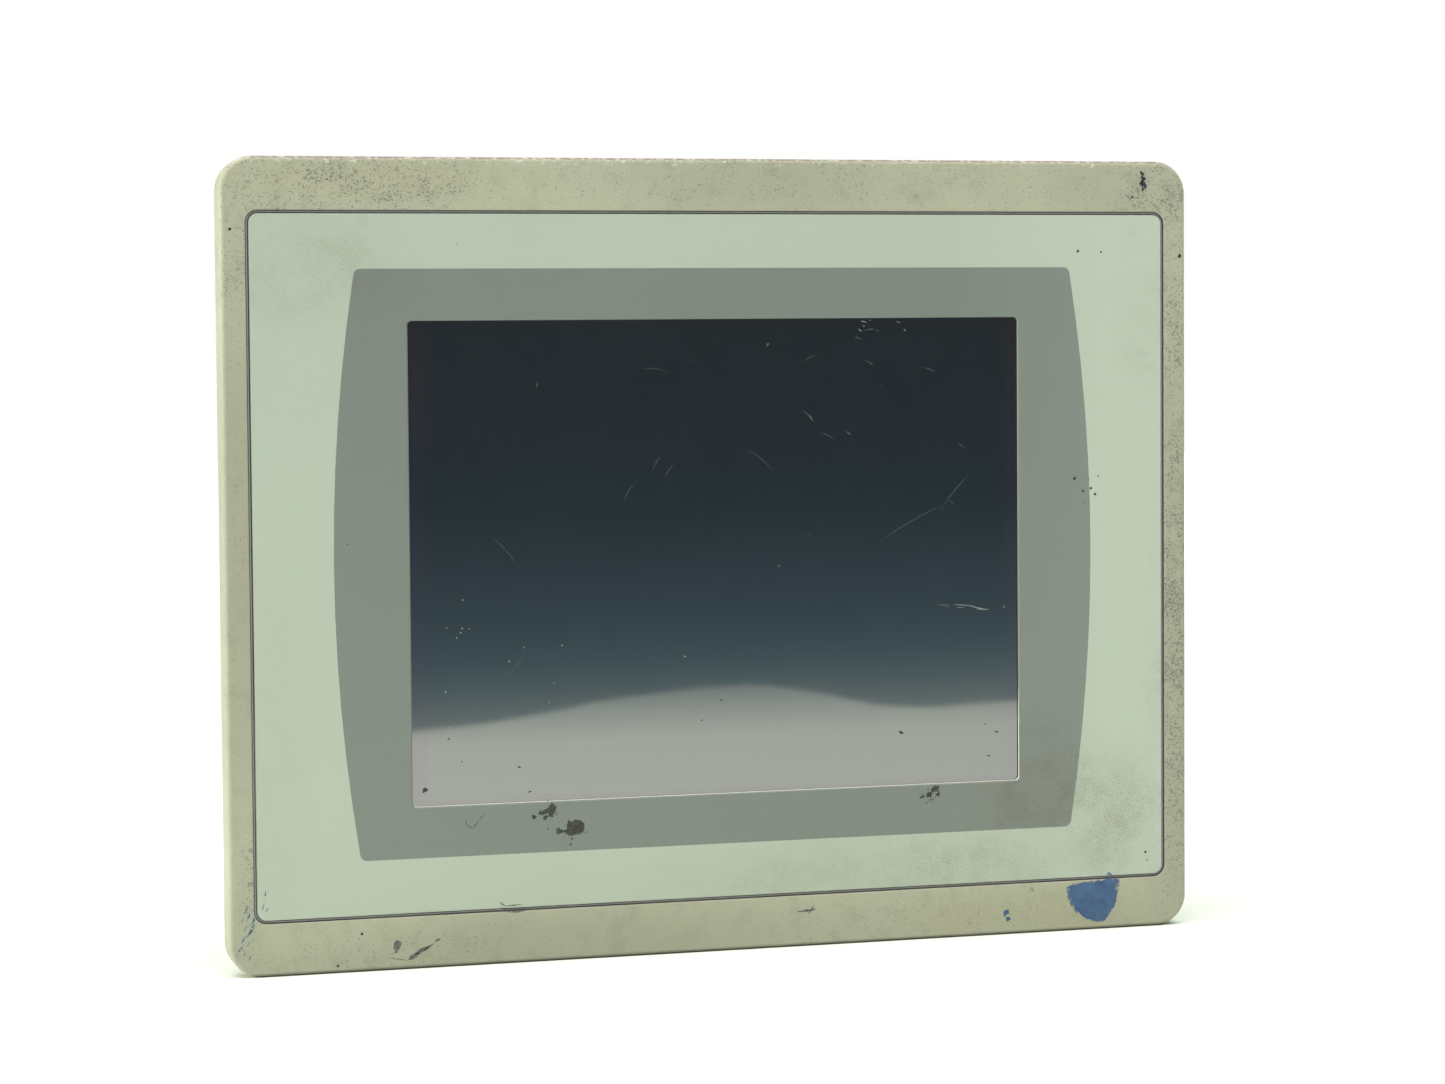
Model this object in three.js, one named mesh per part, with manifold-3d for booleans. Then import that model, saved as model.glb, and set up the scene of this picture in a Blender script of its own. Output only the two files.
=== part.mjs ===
// Panel-mount operator touch terminal: bezel, overlay, touch panel, display and a bolt-on logic module.
// Millimetres, +Z up, -Y towards the operator. The origin is the centre of the panel cut-out, on the
// plane where the gasket meets the front of the panel.
import * as THREE from 'three';
import { mergeVertices } from 'three/addons/utils/BufferGeometryUtils.js';
import Module from 'manifold-3d';

const wasm = await Module();
wasm.setup();

// Driving dimensions.
const GAP = 0.3;
const bezel = { width: 246, height: 193, corner: 8, chamfer: 1.6, front: -8.5, back: -0.8 };
const recess = { width: 233.8, height: 167.4, corner: 3, floor: -7.5 };
const overlay = { groove: 1, front: -8.4, thickness: 0.6 };
const viewport = { width: 155.6, height: 115.5, corner: 1 };
const touch = { width: 170, height: 130, front: -7.5, thickness: 2.4 };
const gasket = { width: 239, height: 186, band: 6.5, front: -3 };
const pocket = { width: 206, height: 153, front: -4.6 };
const collar = { wall: 3.6, back: 3 };
const lcd = { width: 160, height: 124, front: -3.3, openWidth: 138, openHeight: 105 };
const chassis = { width: 204, height: 150, front: 9.3, thickness: 1.2 };
const housing = { width: 219, height: 166, wall: 2.5, front: -0.5, back: 27 };
const cornerScrew = { x: 99, z: 73, radius: 1.5, hole: 1.9, boss: 4 };
const lever = { x: 75, y: 12, thickness: 5.5, pin: 3, slot: 6.8, head: 5, arm: 22 };
const module_ = { width: 186, low: -66, high: 70, plate: 27.3, front: 28.6, back: 54.6, sheet: 1.2 };
const ear = { x: 98, z: 45, hole: 2.3 };
const board = { thickness: 1.6, display: 13.3, logic: 32.7 };
const link = { x: 10, width: 60, depth: 8 };
const card = { length: 36.4, width: 42.8, thickness: 3.3, y: 41.65, z: 16.4, proud: 2 };
const eject = { y: 41.5, z: 45, proud: 5, length: 22, width: 4, thickness: 3 };
const port = { y: 43.5 };

const object = new THREE.Group();

// The finishes of the pieces.
const finish = {
  castPaint: [0xa9ad94, 0.62, 0.1],
  film: [0xb6c3af, 0.55, 0],
  glass: [0x26323a, 0.12, 0],
  foam: [0x2a2a2a, 0.95, 0],
  steel: [0xb4b7b6, 0.38, 1],
  brightSteel: [0xc9cac8, 0.25, 1],
  housingPlastic: [0xb9b8ac, 0.6, 0],
  blackPlastic: [0x1d1d1e, 0.5, 0],
  greenPlastic: [0x2f7d4a, 0.5, 0],
  laminate: [0x1f6b3d, 0.5, 0],
  acrylic: [0xe8ebe8, 0.15, 0],
  aluminium: [0x9fa3a6, 0.4, 1],
  copper: [0xb98a3c, 0.45, 0.2],
  lampGreen: [0x5ecb6a, 0.3, 0],
  lampAmber: [0xd9a13a, 0.3, 0],
};

function add(name, geometry, [color, roughness, metalness]) {
  const material = new THREE.MeshStandardMaterial({ color, roughness, metalness });
  const mesh = new THREE.Mesh(geometry, material);
  mesh.name = name;
  object.add(mesh);
}

// Joins and cuts.
function toSolid(geometry) {
  const bare = geometry.clone();
  bare.deleteAttribute('normal');
  bare.deleteAttribute('uv');
  const merged = mergeVertices(bare, 1e-4);
  return new wasm.Manifold(new wasm.Mesh({
    numProp: 3,
    vertProperties: Float32Array.from(merged.attributes.position.array),
    triVerts: Uint32Array.from(merged.index.array),
  }));
}

function toGeometry(solid) {
  const mesh = solid.getMesh();
  const geometry = new THREE.BufferGeometry();
  geometry.setAttribute('position', new THREE.BufferAttribute(mesh.vertProperties, 3));
  geometry.setIndex(new THREE.BufferAttribute(mesh.triVerts, 1));
  return geometry;
}

function cut(geometry, tools) {
  return toGeometry(tools.reduce((solid, tool) => solid.subtract(toSolid(tool)), toSolid(geometry)));
}

function join(geometries) {
  return toGeometry(geometries.map(toSolid).reduce((whole, next) => whole.add(next)));
}

// An upright slab with rounded corners, seen from the front as width by height, from y0 back to y1.
function roundedRect(width, height, corner, x = 0, z = 0) {
  const right = x + width / 2;
  const left = x - width / 2;
  const top = z + height / 2;
  const foot = z - height / 2;
  const shape = new THREE.Shape();
  shape.moveTo(left + corner, foot);
  shape.absarc(right - corner, foot + corner, corner, -Math.PI / 2, 0);
  shape.absarc(right - corner, top - corner, corner, 0, Math.PI / 2);
  shape.absarc(left + corner, top - corner, corner, Math.PI / 2, Math.PI);
  shape.absarc(left + corner, foot + corner, corner, Math.PI, Math.PI * 1.5);
  return shape;
}

function extrudeBack(shape, y0, y1, curveSegments = 3) {
  const geometry = new THREE.ExtrudeGeometry(shape, { depth: y1 - y0, bevelEnabled: false, curveSegments });
  geometry.rotateX(Math.PI / 2);
  return geometry.translate(0, y1, 0);
}

function slab(width, height, corner, y0, y1, x = 0, z = 0) {
  return extrudeBack(roundedRect(width, height, corner, x, z), y0, y1);
}

// A block between two corners.
function block(x0, x1, y0, y1, z0, z1) {
  const geometry = new THREE.BoxGeometry(x1 - x0, y1 - y0, z1 - z0);
  return geometry.translate((x0 + x1) / 2, (y0 + y1) / 2, (z0 + z1) / 2);
}

// A turned piece from [radius, height] pairs, its axis along Z before it is aimed.
function turned(profile, sides = 10) {
  const points = profile.map(([radius, height]) => new THREE.Vector2(radius, height));
  return new THREE.LatheGeometry(points, sides).rotateX(Math.PI / 2);
}

// The same with its axis along +Y, standing at x, z.
function turnedBack(profile, x, z, sides = 10) {
  return turned(profile, sides).rotateX(-Math.PI / 2).translate(x, 0, z);
}

function rod(radius, y0, y1, x, z, sides = 10) {
  return turnedBack([[0, y0], [radius, y0], [radius, y1], [0, y1]], x, z, sides);
}

const corners = [[-1, 1], [1, 1], [-1, -1], [1, -1]];
const screwPlaces = corners.map(([sx, sz]) => [sx * cornerScrew.x, sz * cornerScrew.z]);
const earPlaces = corners.map(([sx, sz]) => [sx * ear.x, sz * ear.z]);

// Bezel: a casting with a chamfered front edge, a recess for the overlay, the opening for the touch
// panel, a gasket groove behind and a collar that locates the rear housing.
function frontBezel() {
  const outline = roundedRect(bezel.width - 2 * bezel.chamfer, bezel.height - 2 * bezel.chamfer,
    bezel.corner - bezel.chamfer);
  const depth = 12;
  const body = new THREE.ExtrudeGeometry(outline, {
    depth: depth - 2 * bezel.chamfer,
    bevelThickness: bezel.chamfer,
    bevelSize: bezel.chamfer,
    bevelSegments: 2,
    curveSegments: 6,
  });
  body.rotateX(Math.PI / 2).translate(0, bezel.front + depth - bezel.chamfer, 0);
  const half = bezel.width / 2 + 1;
  const flange = cut(body, [block(-half, half, bezel.back, depth, -half, half)]);
  const collarWidth = pocket.width + 2 * collar.wall;
  const collarHeight = pocket.height + 2 * collar.wall;
  const ring = slab(collarWidth, collarHeight, 4, bezel.back - 1, collar.back);
  const grooveOuter = slab(gasket.width + 1, gasket.height + 1, 6, gasket.front - GAP, 1);
  const grooveWidth = gasket.width - 2 * gasket.band - 1;
  const grooveHeight = gasket.height - 2 * gasket.band - 1;
  const grooveCore = slab(grooveWidth, grooveHeight, 4, gasket.front - 1, 2);
  const bodyWithCollar = cut(join([flange, ring]), [
    cut(grooveOuter, [grooveCore]),
    slab(recess.width, recess.height, recess.corner, bezel.front - 1, recess.floor),
    slab(touch.width + 1, touch.height + 1, 2, recess.floor - 1, pocket.front + 1),
    slab(pocket.width, pocket.height, 3, pocket.front, collar.back + 1),
  ]);
  const bossEnd = chassis.front - GAP;
  const bosses = screwPlaces.map(([x, z]) => rod(cornerScrew.boss, pocket.front - 1, bossEnd, x, z));
  const holes = screwPlaces.map(([x, z]) => rod(cornerScrew.hole, pocket.front + 0.6, bossEnd + 1, x, z, 8));
  return cut(join([bodyWithCollar, ...bosses]), holes);
}

function frontLabel() {
  const width = recess.width - 2 * overlay.groove;
  const height = recess.height - 2 * overlay.groove;
  const film = roundedRect(width, height, recess.corner - overlay.groove + 0.2);
  film.holes.push(roundedRect(viewport.width, viewport.height, viewport.corner));
  return extrudeBack(film, overlay.front, overlay.front + overlay.thickness);
}

function ring(width, height, bandX, bandZ, corner, y0, y1) {
  const outline = roundedRect(width, height, corner);
  outline.holes.push(roundedRect(width - 2 * bandX, height - 2 * bandZ, Math.max(corner - bandX, 1)));
  return extrudeBack(outline, y0, y1);
}

add('front_bezel', frontBezel(), finish.castPaint);
add('front_label', frontLabel(), finish.film);
add('bezel_gasket', ring(gasket.width, gasket.height, gasket.band, gasket.band, 6, gasket.front, 0),
  finish.foam);

// Touch panel and its seal.
const touchBack = touch.front + touch.thickness;
add('touch_panel', slab(touch.width, touch.height, 1.5, touch.front, touchBack), finish.glass);
add('touch_gasket', ring(168, 122, 5, 2, 2, touchBack + GAP, lcd.front - GAP), finish.foam);

// Display stack: frame with a skirt, cell, light guide, two lamps and a tray with four ears.
const skirtBack = lcd.front + 8.8;
const cellFront = lcd.front + 1.3;
const guideFront = cellFront + 2.1;
const trayFront = lcd.front + 9.3;
const skirt = ring(lcd.width, lcd.height, 1, 1, 2, lcd.front + 0.5, skirtBack);
const faceBandX = (lcd.width - lcd.openWidth) / 2;
const faceBandZ = (lcd.height - lcd.openHeight) / 2;
const face = ring(lcd.width, lcd.height, faceBandX, faceBandZ, 2, lcd.front, lcd.front + 1);
add('lcd_frame', join([skirt, face]), finish.steel);
add('lcd_panel', slab(156, 120, 1, cellFront, cellFront + 1.8), finish.glass);
add('light_guide', slab(150, 108, 1, guideFront, guideFront + 5), finish.acrylic);
[['upper', 1], ['lower', -1]].forEach(([place, side]) => {
  const half = 73;
  const tube = turned([[0, -half], [1.9, -half], [1.9, 4 - half], [1.3, 4 - half],
    [1.3, half - 4], [1.9, half - 4], [1.9, half], [0, half]], 8);
  tube.rotateY(Math.PI / 2).translate(0, guideFront + 2.5, side * 57.6);
  add(`backlight_tube_${place}`, tube, finish.acrylic);
});
const trayBack = trayFront + 1.2;
const trayEars = corners.map(([sx, sz]) => slab(11, 10, 1, trayFront, trayBack, sx * 83.5, sz * 40));
const trayPlate = slab(lcd.width, lcd.height, 2, trayFront, trayBack);
add('lcd_tray', join([trayPlate, ...trayEars]), finish.steel);

// Chassis: a folded steel plate that carries the display and both boards on pads and posts.
const inverter = { x: -20, z: 52, width: 120, height: 24 };
const interface_ = { x: 10, z: -15, width: 100, height: 70 };
const chassisBack = chassis.front + chassis.thickness;

function boardCorners({ x, z, width, height }) {
  return corners.map(([sx, sz]) => [x + sx * (width / 2 - 4), z + sz * (height / 2 - 4)]);
}

function displayChassis() {
  const pads = corners.map(([sx, sz]) => slab(9, 9, 1, trayFront + 1.5, chassisBack, sx * 84, sz * 40));
  const posts = [...boardCorners(inverter), ...boardCorners(interface_)]
    .map(([x, z]) => rod(2, chassisBack - 0.5, board.display - GAP, x, z, 8));
  const folds = [-1, 1].map((side) => {
    const edge = side * chassis.height / 2;
    const inner = edge - side * chassis.thickness;
    return block(-80, 80, chassis.front, 16, Math.min(edge, inner), Math.max(edge, inner));
  });
  const plate = slab(chassis.width, chassis.height, 2, chassis.front, chassisBack);
  const holes = screwPlaces.map(([x, z]) => rod(cornerScrew.hole, 0, 20, x, z, 8));
  const cableSlot = slab(18, 6, 1, 0, 20, 40, -67);
  return cut(join([plate, ...pads, ...posts, ...folds]), [...holes, cableSlot]);
}

add('display_chassis', displayChassis(), finish.steel);

function circuitBoard({ x, z, width, height }, y) {
  return slab(width, height, 1, y, y + board.thickness, x, z);
}

const displayParts = board.display + board.thickness + GAP;
add('inverter_board', circuitBoard(inverter, board.display), finish.laminate);
add('inverter_transformer', join([
  slab(26, 18, 1, displayParts, displayParts + 1.5, -50, 52),
  slab(20, 13, 1, displayParts + 1, displayParts + 6.5, -50, 52),
  slab(26, 18, 1, displayParts + 6, displayParts + 7.5, -50, 52),
]), finish.copper);
add('interface_board', circuitBoard(interface_, board.display), finish.laminate);
add('link_connector', slab(link.width, link.depth, 1, displayParts, board.logic - GAP, link.x, 0),
  finish.blackPlastic);

// The touch panel's flat cable: a ribbon that runs down behind the panel and through the chassis slot.
function ribbon(route, thickness, x0, x1) {
  const curve = new THREE.CatmullRomCurve3(route.map(([y, z]) => new THREE.Vector3(y, z, 0)));
  const steps = 22;
  const sides = [1, -1].map((side) => Array.from({ length: steps + 1 }, (unused, i) => {
    const at = curve.getPoint(i / steps);
    const along = curve.getTangent(i / steps);
    return new THREE.Vector2(at.x - side * along.y * thickness / 2, at.y + side * along.x * thickness / 2);
  }));
  const outline = new THREE.Shape([...sides[0], ...sides[1].reverse()]);
  const geometry = new THREE.ExtrudeGeometry(outline, { depth: x1 - x0, bevelEnabled: false });
  // The outline's axes become Y and Z, and its depth runs along X.
  geometry.applyMatrix4(new THREE.Matrix4().set(0, 0, 1, x0, 1, 0, 0, 0, 0, 1, 0, 0, 0, 0, 0, 1));
  return geometry;
}

const cableRoute = [[-4.4, -62.2], [-3.4, -65.2], [0, -66.4], [5, -66.8], [10, -67], [14.5, -66],
  [17.5, -62], [18, -57], [17, -52], [15.5, -48.6]];
add('touch_flex_cable', ribbon(cableRoute, 0.4, 34, 46), finish.copper);

// Rear housing: a moulded tray with slots for the levers, screw towers and the link opening.
function sideSlots() {
  const { slot, x, y } = lever;
  const depth = 16;
  const low = y - slot / 2;
  const reach = housing.wall + 3;
  const ends = [-1, 1].flatMap((sx) => [-1, 1].map((sz) => {
    const edge = sz * housing.height / 2;
    const half = slot / 2;
    return block(sx * x - half, sx * x + half, low, low + depth, edge - reach, edge + reach);
  }));
  const flanks = [-1, 1].map((sx) => {
    const edge = sx * housing.width / 2;
    return block(edge - reach, edge + reach, low, low + depth, -slot / 2, slot / 2);
  });
  return [...ends, ...flanks];
}

function rearHousing() {
  const inside = housing.back - housing.wall;
  const shell = cut(slab(housing.width, housing.height, 5, housing.front, housing.back), [
    slab(housing.width - 2 * housing.wall, housing.height - 2 * housing.wall, 3, housing.front - 1, inside),
  ]);
  const towers = screwPlaces.map(([x, z]) => rod(cornerScrew.boss, chassisBack + GAP, inside + 1, x, z));
  const screwHoles = screwPlaces.map(([x, z]) => rod(cornerScrew.hole, 0, housing.back + 1, x, z, 8));
  const earHoles = earPlaces.map(([x, z]) => rod(ear.hole, inside - 1, housing.back + 1, x, z, 8));
  const linkHole = slab(link.width + 6, link.depth + 6, 1, inside - 1, housing.back + 1, link.x, 0);
  return cut(join([shell, ...towers]), [...screwHoles, ...earHoles, linkHole, ...sideSlots()]);
}

add('rear_housing', rearHousing(), finish.housingPlastic);

screwPlaces.forEach(([x, z], i) => {
  const head = housing.back + GAP;
  add(`housing_screw_${i + 1}`, turnedBack([[0, pocket.front + 1], [cornerScrew.radius, pocket.front + 1],
    [cornerScrew.radius, head], [3.2, head], [3.2, head + 1.6], [2.2, head + 2.3], [0, head + 2.3]], x, z),
  finish.brightSteel);
});

// Mounting levers: a cam with a flat clamp face, an arm, and a headed pin that turns in the wall slot.
// Drawn with the pin along Z, the clamp face towards -Y and the arm along -X.
function mountingLever() {
  const cam = 7;
  const hub = 5.6;
  const tip = 3.8;
  const outline = new THREE.Shape();
  outline.moveTo(-3.5, -cam);
  outline.lineTo(3.5, -cam);
  outline.absarc(0, 0, hub, -0.35, Math.PI / 2);
  outline.lineTo(-lever.arm, tip);
  outline.absarc(-lever.arm, 0, tip, Math.PI / 2, Math.PI * 1.5);
  outline.lineTo(-5, -tip);
  const arm = new THREE.ExtrudeGeometry(outline, {
    depth: lever.thickness,
    bevelEnabled: false,
    curveSegments: 5,
  });
  const foot = housing.wall + GAP;
  const pin = turned([[0, -foot - GAP - 2], [lever.head, -foot - GAP - 2], [lever.head, -foot - GAP],
    [lever.pin, -foot - GAP], [lever.pin, 1], [0, 1]], 12);
  return join([arm.translate(0, 0, GAP), pin]);
}

// Each lever's place, pivot x and z, the turn that aims its pin outwards, and whether it is mirrored.
const wallX = housing.width / 2;
const wallZ = housing.height / 2;
const leverPlaces = [
  ['top_left', -lever.x, wallZ, 0, true],
  ['top_right', lever.x, wallZ, 0, false],
  ['bottom_left', -lever.x, -wallZ, Math.PI, false],
  ['bottom_right', lever.x, -wallZ, Math.PI, true],
  ['left', -wallX, 0, -Math.PI / 2, false],
  ['right', wallX, 0, Math.PI / 2, true],
];

// A mirror image, with each triangle turned round so that its face still points out.
function mirroredX(geometry) {
  const index = geometry.scale(-1, 1, 1).index.array;
  for (let i = 0; i < index.length; i += 3) {
    [index[i + 1], index[i + 2]] = [index[i + 2], index[i + 1]];
  }
  return geometry;
}

leverPlaces.forEach(([place, x, z, turn, mirrored]) => {
  const geometry = mirrored ? mirroredX(mountingLever()) : mountingLever();
  geometry.rotateY(turn).translate(x, lever.y, z);
  add(`mounting_lever_${place}`, geometry, finish.blackPlastic);
});

// Logic module: sheet-steel plate and cover, bolted to the housing by four captive screws.
const moduleHeight = module_.high - module_.low;
const moduleMid = (module_.high + module_.low) / 2;
const halfWidth = module_.width / 2;

function modulePlate() {
  const back = module_.plate + 1;
  const plate = slab(module_.width, moduleHeight, 2, module_.plate, back, 0, moduleMid);
  const ears = earPlaces.map(([x, z]) => slab(17, 14, 2, module_.plate, back, x - Math.sign(x) * 3, z));
  const holes = earPlaces.map(([x, z]) => rod(ear.hole, 20, 30, x, z, 8));
  const linkHole = slab(link.width + 4, link.depth + 4, 1, 20, 30, link.x, 0);
  const posts = corners.map(([sx, sz]) => (
    rod(2.5, module_.plate + 0.5, board.logic - GAP, sx * 84, moduleMid + sz * 60, 8)
  ));
  return cut(join([plate, ...ears, ...posts]), [...holes, linkHole]);
}

const serial = { x: -40, width: 31, shellWidth: 17, shellHeight: 8.6 };
const network = { x: -8, width: 16, height: 13.6 };
const usb = { places: [16, 36], width: 14.4, height: 7.2 };
const reset = { x: 56, radius: 2.2 };
const lamps = [['power', 66, finish.lampGreen], ['fault', 74, finish.lampAmber]];
const power = { x: -74, y: 43.5, width: 18, height: 10.4 };

// Trapezoid of the serial port's shell, seen from below.
function serialShell(grow, z0, z1) {
  const w = serial.shellWidth / 2 + grow;
  const h = serial.shellHeight / 2 + grow;
  const taper = 1.4;
  const outline = new THREE.Shape([[-w, h], [-w + taper, -h], [w - taper, -h], [w, h]]
    .map(([x, y]) => new THREE.Vector2(serial.x + x, port.y + y)));
  return new THREE.ExtrudeGeometry(outline, { depth: z1 - z0, bevelEnabled: false }).translate(0, 0, z0);
}

function upright(radius, x, y, z0, z1, sides = 10) {
  return turned([[0, z0], [radius, z0], [radius, z1], [0, z1]], sides).translate(x, y, 0);
}

function vents() {
  const pitch = 7;
  const slots = [];
  for (let i = 0; i < 12; i += 1) {
    const x = (i - 5.5) * pitch;
    slots.push(block(x - 1.3, x + 1.3, 35, 50, module_.high - 3, module_.high + 3));
    slots.push(block(x - 1.3, x + 1.3, module_.back - 3, module_.back + 3, 10, 50));
  }
  return slots;
}

function moduleCase() {
  const { sheet, front, back, low, high } = module_;
  const shell = cut(slab(module_.width, moduleHeight, 2, front, back, 0, moduleMid), [
    slab(module_.width - 2 * sheet, moduleHeight - 2 * sheet, 1, front - 1, back - sheet, 0, moduleMid),
  ]);
  const floor = [low - 3, low + 3];
  const wall = [halfWidth - 3, halfWidth + 3];
  const centred = (x, width, y, height) => (
    block(x - width / 2, x + width / 2, y - height / 2, y + height / 2, ...floor)
  );
  return cut(shell, [
    ...vents(),
    centred(power.x, power.width + 1, power.y, power.height + 1),
    centred(network.x, network.width + 1, port.y, network.height + 1),
    ...usb.places.map((x) => centred(x, usb.width + 1, port.y, usb.height + 1)),
    serialShell(0.5, ...floor),
    ...[-1, 1].map((side) => upright(1.9, serial.x + side * 12.5, port.y, ...floor, 8)),
    upright(reset.radius + 0.4, reset.x, port.y, ...floor),
    ...lamps.map(([, x]) => upright(1.9, x, port.y, ...floor, 8)),
    block(...wall, card.y - 2.6, card.y + 2.6, card.z - 22.4, card.z + 22.4),
    block(...wall, eject.y - 2.1, eject.y + 2.1, eject.z - 2.6, eject.z + 2.6),
  ]);
}

add('logic_module_plate', modulePlate(), finish.steel);
add('logic_module_case', moduleCase(), finish.steel);
earPlaces.forEach(([x, z], i) => {
  const seat = module_.plate + 1 + GAP;
  const tip = housing.back - housing.wall - 2;
  add(`module_screw_${i + 1}`, turnedBack([[0, tip], [1.9, tip], [1.9, seat], [3.9, seat], [4.2, seat + 0.5],
    [4.2, seat + 5], [3.6, seat + 5.6], [0, seat + 5.6]], x, z, 12), finish.brightSteel);
});

// Logic board and what stands on it.
const partsFront = board.logic + board.thickness + GAP;
add('logic_board', slab(module_.width - 8, moduleHeight - 6, 1, board.logic, board.logic + board.thickness,
  0, moduleMid), finish.laminate);

function heatSink() {
  const base = block(-20, 20, partsFront, partsFront + 2.5, 10, 50);
  const fins = [];
  for (let i = 0; i < 7; i += 1) {
    const x = -20 + i * 6.4;
    fins.push(block(x, x + 1.6, partsFront + 1, partsFront + 15, 10, 50));
  }
  return join([base, ...fins]);
}

add('heat_sink', heatSink(), finish.aluminium);
add('memory_module', join([
  block(-86, -26, partsFront + 2, partsFront + 3.2, 12, 40),
  block(-86, -26, partsFront, partsFront + 5, 8, 14),
  block(-82, -70, partsFront + 2, partsFront + 4.6, 20, 34),
  block(-62, -50, partsFront + 2, partsFront + 4.6, 20, 34),
  block(-42, -30, partsFront + 2, partsFront + 4.6, 20, 34),
]), finish.laminate);
const cell = { x: -60, z: -18, radius: 10, thickness: 3.2 };
add('battery_holder', cut(rod(12, partsFront, partsFront + 5, cell.x, cell.z, 20), [
  rod(cell.radius + 0.4, partsFront + 1.5, partsFront + 6, cell.x, cell.z, 20),
  block(cell.x - 3, cell.x + 3, partsFront + 1.5, partsFront + 6, cell.z - 14, cell.z),
]), finish.blackPlastic);
add('battery', rod(cell.radius, partsFront + 1.8, partsFront + 1.8 + cell.thickness, cell.x, cell.z, 20),
  finish.brightSteel);

// Memory card, its slot and the eject button beside it.
const cardEdge = halfWidth + card.proud;
const slotMouth = halfWidth - module_.sheet - GAP;

function slotBody() {
  const { y, z } = card;
  const rail = card.width / 2 + 3;
  const way = card.width / 2 + 0.4;
  const back = cardEdge - card.length;
  const body = block(back - 2.5, slotMouth, partsFront, y + 4, z - rail, z + rail);
  return cut(body, [
    block(back - GAP, slotMouth + 5, y - 2.1, y + 2.1, z - way, z + way),
    block(back + 8, slotMouth - 8, y, y + 6, z - 14, z + 14),
  ]);
}

add('card_slot', slotBody(), finish.brightSteel);

// A bar that ends at x1 and is centred on y and z.
function bar(x1, length, { y, z, thickness, width }) {
  return block(x1 - length, x1, y - thickness / 2, y + thickness / 2, z - width / 2, z + width / 2);
}

add('memory_card', bar(cardEdge, card.length, card), finish.blackPlastic);
add('card_eject_button', bar(halfWidth + eject.proud, eject.length, eject), finish.blackPlastic);

// Ports along the bottom edge.
const sill = module_.low;

function socket(x, y, width, height, depth, hole) {
  const body = join([
    block(x - width / 2, x + width / 2, y - height / 2, y + height / 2, sill - 0.6, sill + depth),
    block(x - width / 2 + 1, x + width / 2 - 1, partsFront, y, sill + 2, sill + depth),
  ]);
  const mouth = block(x - hole.width / 2, x + hole.width / 2, y - hole.height / 2, y + hole.height / 2,
    sill - 2, sill + hole.depth);
  return cut(body, [mouth]);
}

add('network_port', socket(network.x, port.y, network.width, network.height, 17,
  { width: 11.8, height: 8.4, depth: 13 }), finish.brightSteel);
usb.places.forEach((x, i) => {
  add(`usb_port_${i + 1}`, socket(x, port.y, usb.width, usb.height, 14,
    { width: 12.6, height: 5.2, depth: 11 }), finish.brightSteel);
});

function serialPort() {
  const inner = sill + module_.sheet + GAP;
  const half = serial.width / 2;
  const base = join([
    block(serial.x - half, serial.x + half, port.y - 6.2, port.y + 6.2, inner, inner + 9),
    block(serial.x - half + 1, serial.x + half - 1, partsFront, port.y, inner + 1, inner + 9),
  ]);
  const flange = cut(base, [
    ...[-1, 1].map((side) => upright(1.7, serial.x + side * 12.5, port.y, inner - 2, inner + 6, 8)),
  ]);
  return cut(join([flange, serialShell(0, sill - 6, inner + 1)]), [serialShell(-0.6, sill - 7, sill)]);
}

add('serial_port', serialPort(), finish.brightSteel);
[-1, 1].forEach((side, i) => {
  const standoff = turned([[0, sill - 5.3], [2.7, sill - 5.3], [2.7, sill - GAP], [1.4, sill - GAP],
    [1.4, sill + 5], [0, sill + 5]], 6);
  standoff.translate(serial.x + side * 12.5, port.y, 0);
  add(`serial_jack_screw_${i + 1}`, standoff, finish.brightSteel);
});

const way = 5.08;
const ways = [-way, 0, way];
add('power_header', socket(power.x, power.y, power.width, power.height, 12,
  { width: 16.4, height: 8.8, depth: 9 }), finish.greenPlastic);

function powerPlug() {
  const { x, y } = power;
  const nose = block(x - 7.9, x + 7.9, y - 4.1, y + 4.1, sill - 2, sill + 8.5);
  const body = block(x - 8.8, x + 8.8, y - 5.6, y + 6.4, sill - 14, sill - 1);
  const wires = ways.map((dx) => block(x + dx - 1.9, x + dx + 1.9, y - 3.6, y + 0.2, sill - 15, sill - 9));
  const wells = ways.map((dx) => rod(2, y + 4, y + 7, x + dx, sill - 7, 8));
  return cut(join([nose, body]), [...wires, ...wells]);
}

add('power_plug', powerPlug(), finish.greenPlastic);
ways.forEach((dx, i) => {
  const screw = rod(1.6, power.y + 4.3, power.y + 6.1, power.x + dx, sill - 7, 8);
  add(`plug_screw_${i + 1}`, screw, finish.brightSteel);
});

add('reset_button', turned([[0, sill - 1.2], [reset.radius, sill - 1.2], [reset.radius, sill + 2],
  [reset.radius + 1, sill + 2], [reset.radius + 1, sill + 3.4], [0, sill + 3.4]], 12)
  .translate(reset.x, port.y, 0), finish.blackPlastic);
const indicatorBlock = block(reset.x - 5, 79, partsFront, port.y + 4, sill + 4.6, sill + 13);
add('indicator_housing', indicatorBlock, finish.blackPlastic);
lamps.forEach(([name, x, colour]) => {
  const lens = turned([[0, sill - 0.8], [1, sill - 0.6], [1.5, sill], [1.5, sill + 4], [0, sill + 4]], 8);
  add(`${name}_lamp`, lens.translate(x, port.y, 0), colour);
});

export default object;
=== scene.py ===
"""A panel-mount operator touch terminal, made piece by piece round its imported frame. Metres, +Z up."""
import math
import random

import bmesh
import bpy
from mathutils import Matrix, Vector, noise


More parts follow.
